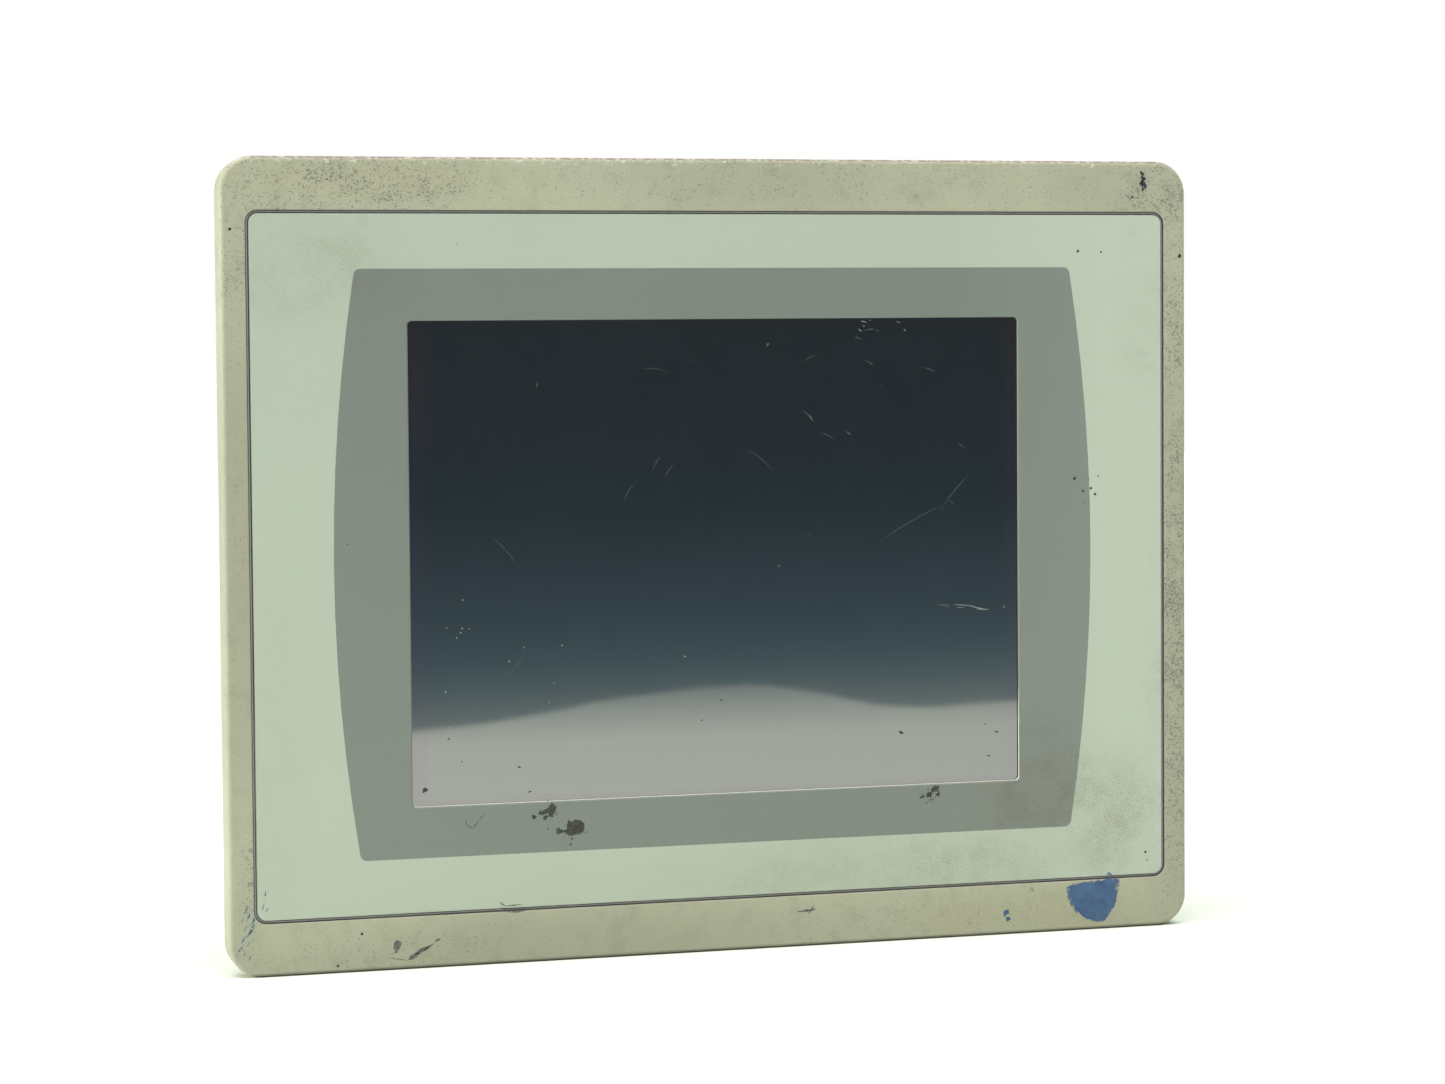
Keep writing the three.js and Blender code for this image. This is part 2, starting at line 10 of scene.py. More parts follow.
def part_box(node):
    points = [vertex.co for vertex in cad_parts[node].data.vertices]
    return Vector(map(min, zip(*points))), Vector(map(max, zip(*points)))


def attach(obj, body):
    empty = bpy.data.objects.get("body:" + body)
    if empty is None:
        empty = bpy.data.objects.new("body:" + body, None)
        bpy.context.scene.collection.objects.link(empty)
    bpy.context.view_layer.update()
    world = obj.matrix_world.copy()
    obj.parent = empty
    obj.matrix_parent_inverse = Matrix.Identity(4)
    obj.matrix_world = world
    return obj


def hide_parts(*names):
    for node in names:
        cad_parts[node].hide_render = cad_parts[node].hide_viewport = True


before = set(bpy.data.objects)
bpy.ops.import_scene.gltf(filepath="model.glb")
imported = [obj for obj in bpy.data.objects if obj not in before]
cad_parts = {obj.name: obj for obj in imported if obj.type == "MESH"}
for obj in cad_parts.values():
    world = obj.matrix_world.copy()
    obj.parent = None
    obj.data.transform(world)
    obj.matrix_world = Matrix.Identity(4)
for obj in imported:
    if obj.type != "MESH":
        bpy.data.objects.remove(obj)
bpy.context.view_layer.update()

scene = bpy.context.scene

# ---------------------------------------------------------------------------------------------------
# Camera. A long lens, left of the terminal and a little above its middle, as a person would stand to
# look at it on a table. Its place is measured from the middle of the bezel's front face.
bezel_low, bezel_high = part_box("front_bezel")
lens = bpy.data.cameras.new("camera")
lens.lens = 99.65
lens.sensor_width = 36.0
camera = bpy.data.objects.new("camera", lens)
scene.collection.objects.link(camera)
yaw, pitch, roll = (math.radians(a) for a in (-18.27, 3.0, -0.43))
stand_left, stand_back, stand_up = 0.3049, 0.9224, 0.0545
turn = Matrix.Rotation(yaw, 4, "Z") @ Matrix.Rotation(math.pi / 2 - pitch, 4, "X")
turn = turn @ Matrix.Rotation(roll, 4, "Z")
camera.matrix_world = Matrix.Translation((-stand_left, bezel_low.y - stand_back, stand_up)) @ turn
scene.camera = camera


# ---------------------------------------------------------------------------------------------------
# Floor and light. A white sheet of card under the terminal, a white room round it, a wide lamp above
# and a softer one on the left, which light the top and left edges most.
def linear(colour):
    """An sRGB colour written as six hex digits, as the linear RGBA that a socket takes."""
    parts = [int(colour[i:i + 2], 16) / 255 for i in (0, 2, 4)]
    return [c / 12.92 if c <= 0.04045 else ((c + 0.055) / 1.055) ** 2.4 for c in parts] + [1.0]


def node(tree, kind, inputs=(), **settings):
    """Adds one node. Settings are its properties, and inputs its sockets: a value, or a socket to link."""
    made = tree.nodes.new("ShaderNode" + kind)
    for name, value in settings.items():
        setattr(made, name, value)
    for name, value in dict(inputs).items():
        if isinstance(value, bpy.types.NodeSocket):
            tree.links.new(value, made.inputs[name])
        else:
            made.inputs[name].default_value = value
    return made


def new_material(name):
    """An empty material and its node tree."""
    material = bpy.data.materials.new(name)
    material.use_nodes = True
    material.node_tree.nodes.clear()
    return material, material.node_tree


def link_object(name, mesh, *materials):
    """A scene object for a mesh, with its material slots."""
    thing = bpy.data.objects.new(name, mesh)
    for material in materials:
        mesh.materials.append(material)
    scene.collection.objects.link(thing)
    return thing


scene.view_settings.view_transform = "Standard"
world = bpy.data.worlds.new("white_room")
scene.world = world
world.use_nodes = True
world.node_tree.nodes.clear()
room_light, wall_white = 0.25, 1.0
seen = node(world.node_tree, "LightPath")
strength = node(world.node_tree, "MapRange", {"Value": seen.outputs["Is Camera Ray"],
                                              "To Min": room_light, "To Max": wall_white})
room = node(world.node_tree, "Background", {"Color": (1.0, 1.0, 0.995, 1.0),
                                            "Strength": strength.outputs["Result"]})
node(world.node_tree, "OutputWorld", {"Surface": room.outputs["Background"]})

floor_card, tree = new_material("white_card")
grain = node(tree, "TexNoise", {"Scale": 300.0, "Detail": 2.0})
tint = node(tree, "MixRGB", {"Fac": grain.outputs["Fac"], "Color1": linear("eef6ea"),
                             "Color2": linear("f2f9ee")})
# Away from the lamps the card glows a little, as it would under the rest of a studio's lamps.
place = node(tree, "TexCoord")
from_lamp = node(tree, "VectorMath", {0: place.outputs["Object"]}, operation="LENGTH")
far_glow = node(tree, "MapRange", {"Value": from_lamp.outputs["Value"], "From Min": 0.75, "From Max": 2.0,
                                   "To Min": 0.0, "To Max": 0.95})
shade = node(tree, "BsdfPrincipled", {"Base Color": tint.outputs["Color"], "Roughness": 0.9,
                                      "Specular IOR Level": 0.1, "Emission Color": (1, 1, 1, 1),
                                      "Emission Strength": far_glow.outputs["Result"]})
node(tree, "OutputMaterial", {"Surface": shade.outputs["BSDF"]})
floor_mesh = bpy.data.meshes.new("floor")
floor_radius, floor_z, floor_sides = 4.0, bezel_low.z, 96
rim = [(floor_radius * math.cos(a), floor_radius * math.sin(a), floor_z)
       for a in (2 * math.pi * i / floor_sides for i in range(floor_sides))]
floor_mesh.from_pydata(rim, [], [list(range(floor_sides))])
link_object("floor", floor_mesh, floor_card)


def area_lamp(name, place, aim, width, height, watts, colour):
    """A rectangular lamp at place, facing aim."""
    lamp = bpy.data.lights.new(name, "AREA")
    lamp.shape, lamp.size, lamp.size_y = "RECTANGLE", width, height
    lamp.energy, lamp.color = watts, colour
    thing = bpy.data.objects.new(name, lamp)
    thing.location = place
    thing.rotation_euler = (Vector(aim) - Vector(place)).to_track_quat("-Z", "Y").to_euler()
    scene.collection.objects.link(thing)


area_lamp("ceiling_lamp", (0.0, -0.25, 1.6), (0.0, -0.1, 0.0), 2.2, 1.6, 52.0, (1.0, 1.0, 0.97))
area_lamp("left_lamp", (-1.7, 0.1, 0.35), (0.0, 0.0, 0.0), 1.2, 1.2, 30.0, (1.0, 1.0, 0.96))

# A dark flag in front of the terminal, out of the camera's sight: only glossy surfaces see it, so the
# glass mirrors a dim room above the pale floor. Its lower edge is wavy, as a draped cloth's is, and under
# it hangs a haze that thins out downwards, for a far floor is dimmer than a near one.
flag_y, flag_top, flag_left, flag_right = -0.46, 0.75, -0.9, 1.1
flag_knots = [(-0.9, -0.087), (0.03, -0.0862), (0.057, -0.0845), (0.087, -0.0806), (0.102, -0.0776),
              (0.14, -0.0742), (0.163, -0.0736), (0.186, -0.0776), (0.21, -0.0832), (0.23, -0.0846),
              (0.262, -0.0833), (1.1, -0.083)]
flag_soft = 0.0014
haze_foot, haze_rise, haze_thick = -0.0916, 0.0167, 0.64
ramp_foot, ramp_top = -0.09, 0.06


def flag_edge(x):
    """Height of the flag's lower edge at x, straight between its knots."""
    for (x0, z0), (x1, z1) in zip(flag_knots, flag_knots[1:]):
        if x <= x1:
            return z0 + (z1 - z0) * (x - x0) / (x1 - x0)
    return flag_knots[-1][1]


flag_columns, flag_rises = 240, [-1.0, -0.5, 0.0, 0.5, 1.0, 8.0]
points, faces, covers = [], [], []
for i in range(flag_columns + 1):
    x = flag_left + (flag_right - flag_left) * (i / flag_columns)
    points.append((x, flag_y, haze_foot))
    covers.append(0.0)
    for rise in [r * flag_soft for r in flag_rises] + [flag_top]:
        z = flag_edge(x) + rise
        haze = haze_thick * min((z - haze_foot) / haze_rise, 1.0)
        t = min(max(rise / flag_soft / 2 + 0.5, 0.0), 1.0)
        points.append((x, flag_y, z))
        covers.append(haze + (1 - haze) * t * t * (3 - 2 * t))
rows = len(flag_rises) + 2
for i in range(flag_columns):
    for j in range(rows - 1):
        a = i * rows + j
        faces.append((a, a + 1, a + rows + 1, a + rows))
flag_mesh = bpy.data.meshes.new("flag")
flag_mesh.from_pydata(points, [], faces)
flag_mesh.attributes.new("cover", "FLOAT", "POINT").data.foreach_set("value", covers)
flag_cloth, tree = new_material("dim_room")
place = node(tree, "TexCoord")
height = node(tree, "SeparateXYZ", {"Vector": place.outputs["Object"]})
ramp = node(tree, "ValToRGB", {"Fac": node(tree, "MapRange", {
    "Value": height.outputs["Z"], "From Min": ramp_foot, "From Max": ramp_top}).outputs["Result"]})
shades = ramp.color_ramp.elements
shades[0].position, shades[0].color = 0.02, (0.48, 0.585, 0.54, 1)
shades[1].position, shades[1].color = 0.97, (0.05, 0.062, 0.069, 1)
for position, colour in ((0.052, (0.42, 0.525, 0.52, 1)), (0.1, (0.3, 0.405, 0.415, 1)),
                         (0.125, (0.25, 0.365, 0.385, 1)), (0.173, (0.18, 0.28, 0.312, 1)),
                         (0.222, (0.146, 0.23, 0.265, 1)), (0.31, (0.105, 0.168, 0.2, 1)),
                         (0.42, (0.08, 0.127, 0.152, 1)), (0.55, (0.054, 0.084, 0.108, 1)),
                         (0.75, (0.049, 0.068, 0.079, 1))):
    shades.new(position).color = colour
dim = node(tree, "Emission", {"Color": ramp.outputs["Color"], "Strength": 1.0})
clear = node(tree, "BsdfTransparent")
cover = node(tree, "Attribute", attribute_name="cover")
mix = node(tree, "MixShader", {0: cover.outputs["Fac"], 1: clear.outputs["BSDF"],
                               2: dim.outputs["Emission"]})
node(tree, "OutputMaterial", {"Surface": mix.outputs["Shader"]})
flag = link_object("flag", flag_mesh, flag_cloth)
flag.visible_camera = flag.visible_diffuse = flag.visible_shadow = flag.visible_transmission = False

# ---------------------------------------------------------------------------------------------------
# Bezel. A die-cast frame, powder-painted with a fine texture, with a rounded outer edge, a seat for
# the overlay with a narrow moat round it, a gasket groove behind and a collar that the housing fits.
MM = 0.001
ARC_STEPS, SIDE_STEPS = 10, 12


def ring(width, height, corner, y, bow=0.0, across=0.0, up=0.0):
    """One closed loop round a rectangle with round corners, at depth y, in mm. Bow bulges its upright
    sides, and across and up move it."""
    half = {1: width / 2 - corner, -1: -width / 2 + corner}
    rise = {1: height / 2 - corner, -1: -height / 2 + corner}
    centres = [(half[1], rise[-1], -90), (half[1], rise[1], 0), (half[-1], rise[1], 90),
               (half[-1], rise[-1], 180)]
    loop = []
    for k, (cx, cz, start) in enumerate(centres):
        for i in range(ARC_STEPS + 1):
            a = math.radians(start + 90 * i / ARC_STEPS)
            loop.append((cx + corner * math.cos(a), cz + corner * math.sin(a)))
        nx, nz, begin = centres[(k + 1) % 4]
        a = math.radians(begin)
        end = (nx + corner * math.cos(a), nz + corner * math.sin(a))
        x0, z0 = loop[-1]
        loop += [(x0 + (end[0] - x0) * i / SIDE_STEPS, z0 + (end[1] - z0) * i / SIDE_STEPS)
                 for i in range(1, SIDE_STEPS)]
    sign = lambda x: (x > 0) - (x < 0)
    return [Vector((x + sign(x) * bow * (1 - (2 * z / height) ** 2) + across, y, z + up)) * MM
            for x, z in loop]


def bridge(mesh, loops, closed=True):
    """Bands of faces between each loop of points and the next, and from the last to the first if closed.
    If not, a face closes each end. Returns the faces of the bands in order."""
    rows = [[mesh.verts.new(p) for p in loop] for loop in loops]
    pairs = list(zip(rows, rows[1:])) + ([(rows[-1], rows[0])] if closed else [])
    made = []
    for one, two in pairs:
        for i in range(len(one)):
            j = (i + 1) % len(one)
            made.append(mesh.faces.new((one[i], one[j], two[j], two[i])))
    if not closed:
        mesh.faces.new(rows[0])
        mesh.faces.new(rows[-1])
    return made


def finish_bands(made, per_loop, finishes):
    """Gives bands of bridged faces another material slot: finishes maps a band's number to its slot."""
    for band, finish in finishes.items():
        for face in made[band * per_loop:(band + 1) * per_loop]:
            face.material_index = finish


def piece(name, mesh, materials, body="root", replaces=(), smooth=38):
    """Turns a bmesh into an object of the terminal that rides on a body. Edges that turn by less than
    smooth degrees are shaded smooth."""
    bmesh.ops.recalc_face_normals(mesh, faces=mesh.faces)
    data = bpy.data.meshes.new(name)
    mesh.to_mesh(data)
    mesh.free()
    data.shade_smooth()
    data.set_sharp_from_angle(angle=math.radians(smooth))
    made = link_object(name, data, *materials)
    made.modifiers.new("flat_faces_stay_flat", "WEIGHTED_NORMAL").keep_sharp = True
    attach(made, body)
    if replaces:
        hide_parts(*replaces)
    return made


def tube(mesh, x, z, outer, inner, y0, y1, steps=24):
    """A hollow post along Y, in mm."""
    def circle(radius, y):
        return [Vector((x + radius * math.cos(a), y, z + radius * math.sin(a))) * MM
                for a in (2 * math.pi * i / steps for i in range(steps))]
    bridge(mesh, [circle(outer, y0), circle(outer, y1 - 0.4), circle(outer - 0.4, y1),
                  circle(inner + 0.3, y1), circle(inner, y1 - 0.3), circle(inner, y0)])


def millimetres(tree):
    """Object coordinates in millimetres."""
    place = node(tree, "TexCoord")
    return node(tree, "VectorMath", {0: place.outputs["Object"], 1: (1 / MM,) * 3},
                operation="MULTIPLY").outputs["Vector"]


def soiled_area(tree, mm, spots):
    """A soft mask, 0 to 1, high near each spot: (x, z, radius across, radius up, strength), in mm."""
    total = None
    for x, z, across, up, strength in spots:
        moved = node(tree, "VectorMath", {0: mm, 1: (-x, 0, -z)}, operation="ADD")
        shrunk = node(tree, "VectorMath", {0: moved.outputs["Vector"], 1: (1 / across, 0, 1 / up)},
                      operation="MULTIPLY")
        far = node(tree, "VectorMath", {0: shrunk.outputs["Vector"]}, operation="LENGTH")
        near = node(tree, "MapRange", {"Value": far.outputs["Value"], "From Min": 1.0, "From Max": 0.2,
                                       "To Min": 0.0, "To Max": strength}, interpolation_type="SMOOTHSTEP")
        if total is None:
            total = near.outputs["Result"]
        else:
            total = node(tree, "Math", {0: total, 1: near.outputs["Result"]},
                         operation="MAXIMUM").outputs["Value"]
    return total


def patchy(tree, mm, mask, size, low, high, least=0.0, most=1.0, detail=3.0, roughness=0.5):
    """A mask times a cloudy pattern of that size in mm: times least where the pattern is under low, and
    times most where it is over high."""
    clouds = node(tree, "TexNoise", {"Vector": mm, "Scale": 1 / size, "Detail": detail,
                                     "Roughness": roughness})
    share = node(tree, "MapRange", {"Value": clouds.outputs["Fac"], "From Min": low, "From Max": high,
                                    "To Min": least, "To Max": most})
    return node(tree, "Math", {0: mask, 1: share.outputs["Result"]}, operation="MULTIPLY").outputs["Value"]


def pitted(tree, mm, size, cover):
    """Grime held in the pits of a texture of that size in mm: curly dark flecks, 0 to 1, more of them
    where the socket cover, 0 to 1, is high."""
    pits = node(tree, "TexNoise", {"Vector": mm, "Scale": 1 / size, "Detail": 3.0, "Roughness": 0.62})
    filled = node(tree, "Math", {0: cover, 1: 0.17, 2: pits.outputs["Fac"]}, operation="MULTIPLY_ADD")
    return node(tree, "MapRange", {"Value": filled.outputs["Value"], "From Min": 0.65, "From Max": 0.74}
                ).outputs["Result"]


def specks(tree, mm, cell, cover):
    """Grime caught in a texture: dark specks of uneven size, one in each cell of that many mm, 0 to 1.
    Cover, a socket from 0 to 1, says how many cells hold one."""
    warped = node(tree, "TexNoise", {"Vector": mm, "Scale": 1.6 / cell, "Detail": 1.0})
    shift = node(tree, "VectorMath", {0: warped.outputs["Color"], 1: (cell * 0.5,) * 3},
                 operation="MULTIPLY")
    moved = node(tree, "VectorMath", {0: mm, 1: shift.outputs["Vector"]}, operation="ADD")
    cells = node(tree, "TexVoronoi", {"Vector": moved.outputs["Vector"], "Scale": 1 / cell,
                                      "Randomness": 1.0})
    chance = node(tree, "SeparateColor", {"Color": cells.outputs["Color"]}).outputs["Red"]
    size = node(tree, "Math", {0: cover, 1: chance}, operation="SUBTRACT")
    radius = node(tree, "MapRange", {"Value": size.outputs["Value"], "From Min": 0.0, "From Max": 0.5,
                                     "To Min": 0.0, "To Max": 0.42})
    edge = node(tree, "Math", {0: radius.outputs["Result"], 1: cells.outputs["Distance"]},
                operation="SUBTRACT")
    return node(tree, "MapRange", {"Value": edge.outputs["Value"], "From Min": -0.04, "From Max": 0.10}
                ).outputs["Result"]


def blend_colours(tree, mask, under, over, strength=1.0):
    """Over laid on under where the mask is high."""
    if strength != 1.0:
        mask = node(tree, "Math", {0: mask, 1: strength}, operation="MULTIPLY").outputs["Value"]
    return node(tree, "MixRGB", {"Fac": mask, "Color1": under, "Color2": over}).outputs["Color"]


# Textured powder paint: matt, with grains of about 0.4 mm that shade softly and hold workshop grime as
# fine dark specks. It has yellowed a little where hands have worn it.
powder_paint, tree = new_material("textured_powder_paint_on_casting")
mm = millimetres(tree)
axes = node(tree, "SeparateXYZ", {"Vector": mm}).outputs
broad = node(tree, "TexNoise", {"Vector": mm, "Scale": 1 / 28, "Detail": 3.0, "Roughness": 0.6})
streaks = node(tree, "TexNoise", {"Vector": mm, "Scale": 1 / 5, "Detail": 4.0, "Roughness": 0.65})
paint = blend_colours(tree, broad.outputs["Fac"], linear("a4a48f"), linear("b0b09a"))
dull = node(tree, "MapRange", {"Value": streaks.outputs["Fac"], "From Min": 0.5, "From Max": 0.72})
paint = blend_colours(tree, dull.outputs["Result"], paint, linear("8f937e"), 0.45)
yellowed = soiled_area(tree, mm, [(62, -91, 20, 7, 0.9), (90, -91, 26, 8, 1.0), (-88, 91, 46, 8, 0.55)])
paint = blend_colours(tree, yellowed, paint, linear("a5a080"), 0.45)
dulled = soiled_area(tree, mm, [(-120, 5, 14, 90, 1.0), (-121, -88, 10, 18, 0.5), (121, -30, 14, 120, 0.6),
                                (8, 91, 50, 14, 0.7), (-40, -92, 80, 13, 0.85), (100, 91, 24, 14, 0.5)])
paint = blend_colours(tree, dulled, paint, linear("8b8d7b"), 0.45)
grimy = soiled_area(tree, mm, [(-86, 91, 46, 13, 1.0), (-117, 80, 20, 34, 0.8), (-120, 10, 12, 90, 0.3),
                               (120, -20, 14, 110, 1.0), (114, 86, 20, 22, 0.9), (30, 91, 150, 12, 0.42),
                               (-90, -92, 70, 9, 0.4), (60, -92, 90, 9, 0.35), (-118.4, -74, 4, 15, 1.0),
                               (120, 50, 14, 70, 0.8)])
grimy = patchy(tree, mm, grimy, 9, 0.3, 0.7, 0.35, 1.1)
some = node(tree, "Math", {0: grimy, 1: 0.28}, operation="MULTIPLY").outputs["Value"]
paint = blend_colours(tree, grimy, paint, linear("8f8d7c"), 0.25)
paint = blend_colours(tree, pitted(tree, mm, 0.46, grimy), paint, linear("5c5d5e"), 0.72)
paint = blend_colours(tree, specks(tree, mm, 1.9, some), paint, linear("4c504e"), 0.75)
# The front's top edge is chipped pale and rubbed brown where it is handled. Its bottom edge is painted dark:
# a painted contact shadow where it stands on the floor.
at_front = node(tree, "MapRange", {"Value": axes["Y"], "From Min": -7.1, "From Max": -7.8})
at_front = at_front.outputs["Result"]
for low, high, thin, tone in ((94.4, 95.2, 0.57, "c9cbbb"), (95.75, 96.2, 0.44, "6d5552")):
    near_top = node(tree, "MapRange", {"Value": axes["Z"], "From Min": low, "From Max": high})
    near_top = node(tree, "Math", {0: near_top.outputs["Result"], 1: at_front}, operation="MULTIPLY")
    rubbed = patchy(tree, mm, near_top.outputs["Value"], 1.6, thin, thin + 0.08, detail=4.0, roughness=0.65)
    paint = blend_colours(tree, rubbed, paint, linear(tone), 0.8)
# Painted shade: a dark brown band along the front's bottom edge stands in for the shadow where the bezel
# meets the floor.
painted_contact_shadow = node(tree, "MapRange", {"Value": axes["Z"], "From Min": -95.5, "From Max": -96.2})
painted_contact_shadow = node(tree, "Math", {0: painted_contact_shadow.outputs["Result"], 1: at_front}, operation="MULTIPLY")
paint = blend_colours(tree, painted_contact_shadow.outputs["Value"], paint, linear("4b3f38"), 0.85)
orange_peel = node(tree, "TexNoise", {"Vector": mm, "Scale": 1 / 0.45, "Detail": 2.0})
rise = node(tree, "Bump", {"Height": orange_peel.outputs["Fac"], "Strength": 0.35, "Distance": 0.00006})
sheen = node(tree, "MapRange", {"Value": streaks.outputs["Fac"], "To Min": 0.5, "To Max": 0.68})
shade = node(tree, "BsdfPrincipled", {"Base Color": paint, "Roughness": sheen.outputs["Result"],
                                      "Normal": rise.outputs["Normal"], "IOR": 1.48})
node(tree, "OutputMaterial", {"Surface": shade.outputs["BSDF"]})

# The moat's floor: the same paint with purple-grey dust lying on it. Along the foot of each wall and up the
# outer wall a dark colour is painted shade, standing in for the shadow in the crevices and on the walls that
# face away from the light.
moat_dust, tree = new_material("paint_silted_with_dust")
mm = millimetres(tree)
mottle = node(tree, "TexNoise", {"Vector": mm, "Scale": 1 / 1.5, "Detail": 4.0})
silt_and_shade_tone = blend_colours(tree, mottle.outputs["Fac"], linear("857f88"), linear("a9a79f"))
shade = node(tree, "BsdfPrincipled", {"Base Color": silt_and_shade_tone, "Roughness": 0.92, "Specular IOR Level": 0.2})
node(tree, "OutputMaterial", {"Surface": shade.outputs["BSDF"]})
# Painted shade: a dark purple-grey for the moat's crevices and walls, where shadow falls.
painted_moat_shade, tree = new_material("painted_shade_in_moat_crevices")
mm = millimetres(tree)
mottle = node(tree, "TexNoise", {"Vector": mm, "Scale": 1 / 1.1, "Detail": 4.0})
silt_and_shade_tone = blend_colours(tree, mottle.outputs["Fac"], linear("443f4d"), linear("6d6872"))
shade = node(tree, "BsdfPrincipled", {"Base Color": silt_and_shade_tone, "Roughness": 0.95, "Specular IOR Level": 0.1})
node(tree, "OutputMaterial", {"Surface": shade.outputs["BSDF"]})

label_low, label_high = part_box("front_label")
bezel_width, bezel_height = ((bezel_high[i] - bezel_low[i]) / MM for i in (0, 2))
label_width = (label_high.x - label_low.x) / MM + 0.6
label_height = (label_high.z - label_low.z) / MM + 0.8
moat, edge_round, bezel_face = 0.8, 1.15, bezel_low.y / MM
seat_width, seat_height = label_width + 2 * moat, label_height + 2 * moat
frame_mesh = bmesh.new()
boss_x, boss_z = 99, 73
opening_size, groove_outer, groove_inner, collar_inner = (171, 131), (240, 187), (225, 172), (206, 153)
opening = [ring(*opening_size, 2.5, -4.6), ring(*opening_size, 2.5, -7.3), ring(171.4, 131.4, 2.7, -7.5)]
moat_floor = bezel_face + 0.62
moat_loops = [ring(label_width - 0.2, label_height - 0.2, 2.1, -7.5),
              ring(label_width + 0.1, label_height + 0.1, 2.25, moat_floor + 0.1),
              ring(label_width + 0.5, label_height + 0.5, 2.45, moat_floor),
              ring(seat_width - 0.5, seat_height - 0.5, 2.75, moat_floor),
              ring(seat_width, seat_height, 3.0, moat_floor + 0.05)]
inner_edge = [ring(seat_width, seat_height, 3.0, bezel_face + 0.30),
              ring(seat_width + 0.16, seat_height + 0.16, 3.06, bezel_face + 0.10),
              ring(seat_width + 0.5, seat_height + 0.5, 3.2, bezel_face + 0.015),
              ring(seat_width + 1.2, seat_height + 1.2, 3.6, bezel_face)]
outer_edge = []
for step in range(9):
    a = math.radians(90 * step / 8)
    grow = 2 * edge_round * (math.sin(a) - 1)
    outer_edge.append(ring(bezel_width + grow, bezel_height + grow, 8 + grow / 2,
                           bezel_face + edge_round * (1 - math.cos(a))))
draft = 0.5
behind = [ring(bezel_width - draft, bezel_height - draft, 8, -1.2),
          ring(bezel_width - draft - 0.3, bezel_height - draft - 0.3, 7.85, -0.9),
          ring(bezel_width - draft - 0.8, bezel_height - draft - 0.8, 7.6, -0.8),
          ring(*groove_outer, 6.5, -0.8), ring(*groove_outer, 6.5, -3.3), ring(*groove_inner, 4, -3.3),
          ring(*groove_inner, 4, -0.8),
          ring(213.6, 160.6, 4.2, -0.8), ring(213.2, 160.2, 4, 2.6), ring(212.6, 159.6, 3.8, 3.0),
          ring(206.4, 153.4, 3.2, 3.0), ring(*collar_inner, 3, 2.6), ring(*collar_inner, 3, -4.4)]
made = bridge(frame_mesh, opening + moat_loops + inner_edge + outer_edge + behind)
first = len(opening)
# Slot 1, the dusty floor, lies in the moat; slot 2, painted shade, lies on its walls and in the crevices at
# their feet.
finish_bands(made, len(opening[0]), {first: 2, first + 1: 2, first + 2: 1, first + 3: 2, first + 4: 2})
for sx in (-1, 1):
    for sz in (-1, 1):
        tube(frame_mesh, sx * boss_x, sz * boss_z, 4, 1.9, -4.3, 9.0)
piece("bezel_casting", frame_mesh, [powder_paint, moat_dust, painted_moat_shade], replaces=["front_bezel"])

# ---------------------------------------------------------------------------------------------------
# Overlay. A matt polyester film, screen-printed grey-green with a darker surround whose sides bow out,
# die-cut for the window and glued into the bezel's seat.
window_width, window_height, window_corner = 155.6, 115.5, 1.0
surround_width, surround_height, surround_bow = 182.2, 140.2, 5.75
window_across = -0.5


def printed_film(name, light, dark, painted_light_low, painted_light_right, grime):
    """Matt polyester with ink on it: even colour, a soft sheen and a fine grain of 0.15 mm, drawn at 0.3.
    Downwards and to the right the ink is painted lighter, to its fourth and fifth colours: painted light,
    standing in for the bright floor reflected low on the film and for the left lamp's light falling off to
    the right. Grime lies in the corners."""
    material, tree = new_material(name)
    mm = millimetres(tree)
    axes = node(tree, "SeparateXYZ", {"Vector": mm}).outputs
    clouds = node(tree, "TexNoise", {"Vector": mm, "Scale": 1 / 40, "Detail": 2.0})
    ink = blend_colours(tree, clouds.outputs["Fac"], linear(dark), linear(light))
    # Painted light: the ink is painted lighter downwards and towards the right, for light that falls there,
    # not for a change in the ink.
    lower = node(tree, "MapRange", {"Value": axes["Z"], "From Min": 40.0, "From Max": -80.0})
    ink = blend_colours(tree, lower.outputs["Result"], ink, linear(painted_light_low), 0.55)
    right = node(tree, "MapRange", {"Value": axes["X"], "From Min": 55.0, "From Max": 112.0})
    ink = blend_colours(tree, right.outputs["Result"], ink, linear(painted_light_right), 0.6)
    dusty = soiled_area(tree, mm, [(117, -30, 9, 80, 0.55), (84, -60, 28, 24, 1.0), (104, -68, 34, 26, 0.8),
                                   (-106, 72, 44, 22, 0.6), (60, -78, 100, 12, 0.8),
                                   (-112, -50, 12, 60, 0.35), (112, 62, 12, 40, 0.4)])
    dusty = patchy(tree, mm, dusty, 14, 0.3, 0.7, 0.3, 1.1)
    ink = blend_colours(tree, dusty, ink, linear(grime), 0.12)
    smudge = patchy(tree, mm, dusty, 2.4, 0.45, 0.68, roughness=0.6)
    ink = blend_colours(tree, smudge, ink, linear(grime), 0.24)
    blotch = patchy(tree, mm, dusty, 8, 0.46, 0.66, detail=5.0, roughness=0.7)
    ink = blend_colours(tree, blotch, ink, linear(grime), 0.3)
    ink = blend_colours(tree, pitted(tree, mm, 0.42, dusty), ink, linear("67665b"), 0.4)
    few = node(tree, "Math", {0: dusty, 1: 0.12}, operation="MULTIPLY").outputs["Value"]
    ink = blend_colours(tree, specks(tree, mm, 2.4, few), ink, linear("4a504b"), 0.65)
    grain = node(tree, "TexNoise", {"Vector": mm, "Scale": 1 / 0.3, "Detail": 1.0})
    bump = node(tree, "Bump", {"Height": grain.outputs["Fac"], "Strength": 0.12, "Distance": 0.00003})
    shade = node(tree, "BsdfPrincipled", {"Base Color": ink, "Roughness": 0.55, "IOR": 1.5,
                                          "Normal": bump.outputs["Normal"]})
    node(tree, "OutputMaterial", {"Surface": shade.outputs["BSDF"]})
    return material


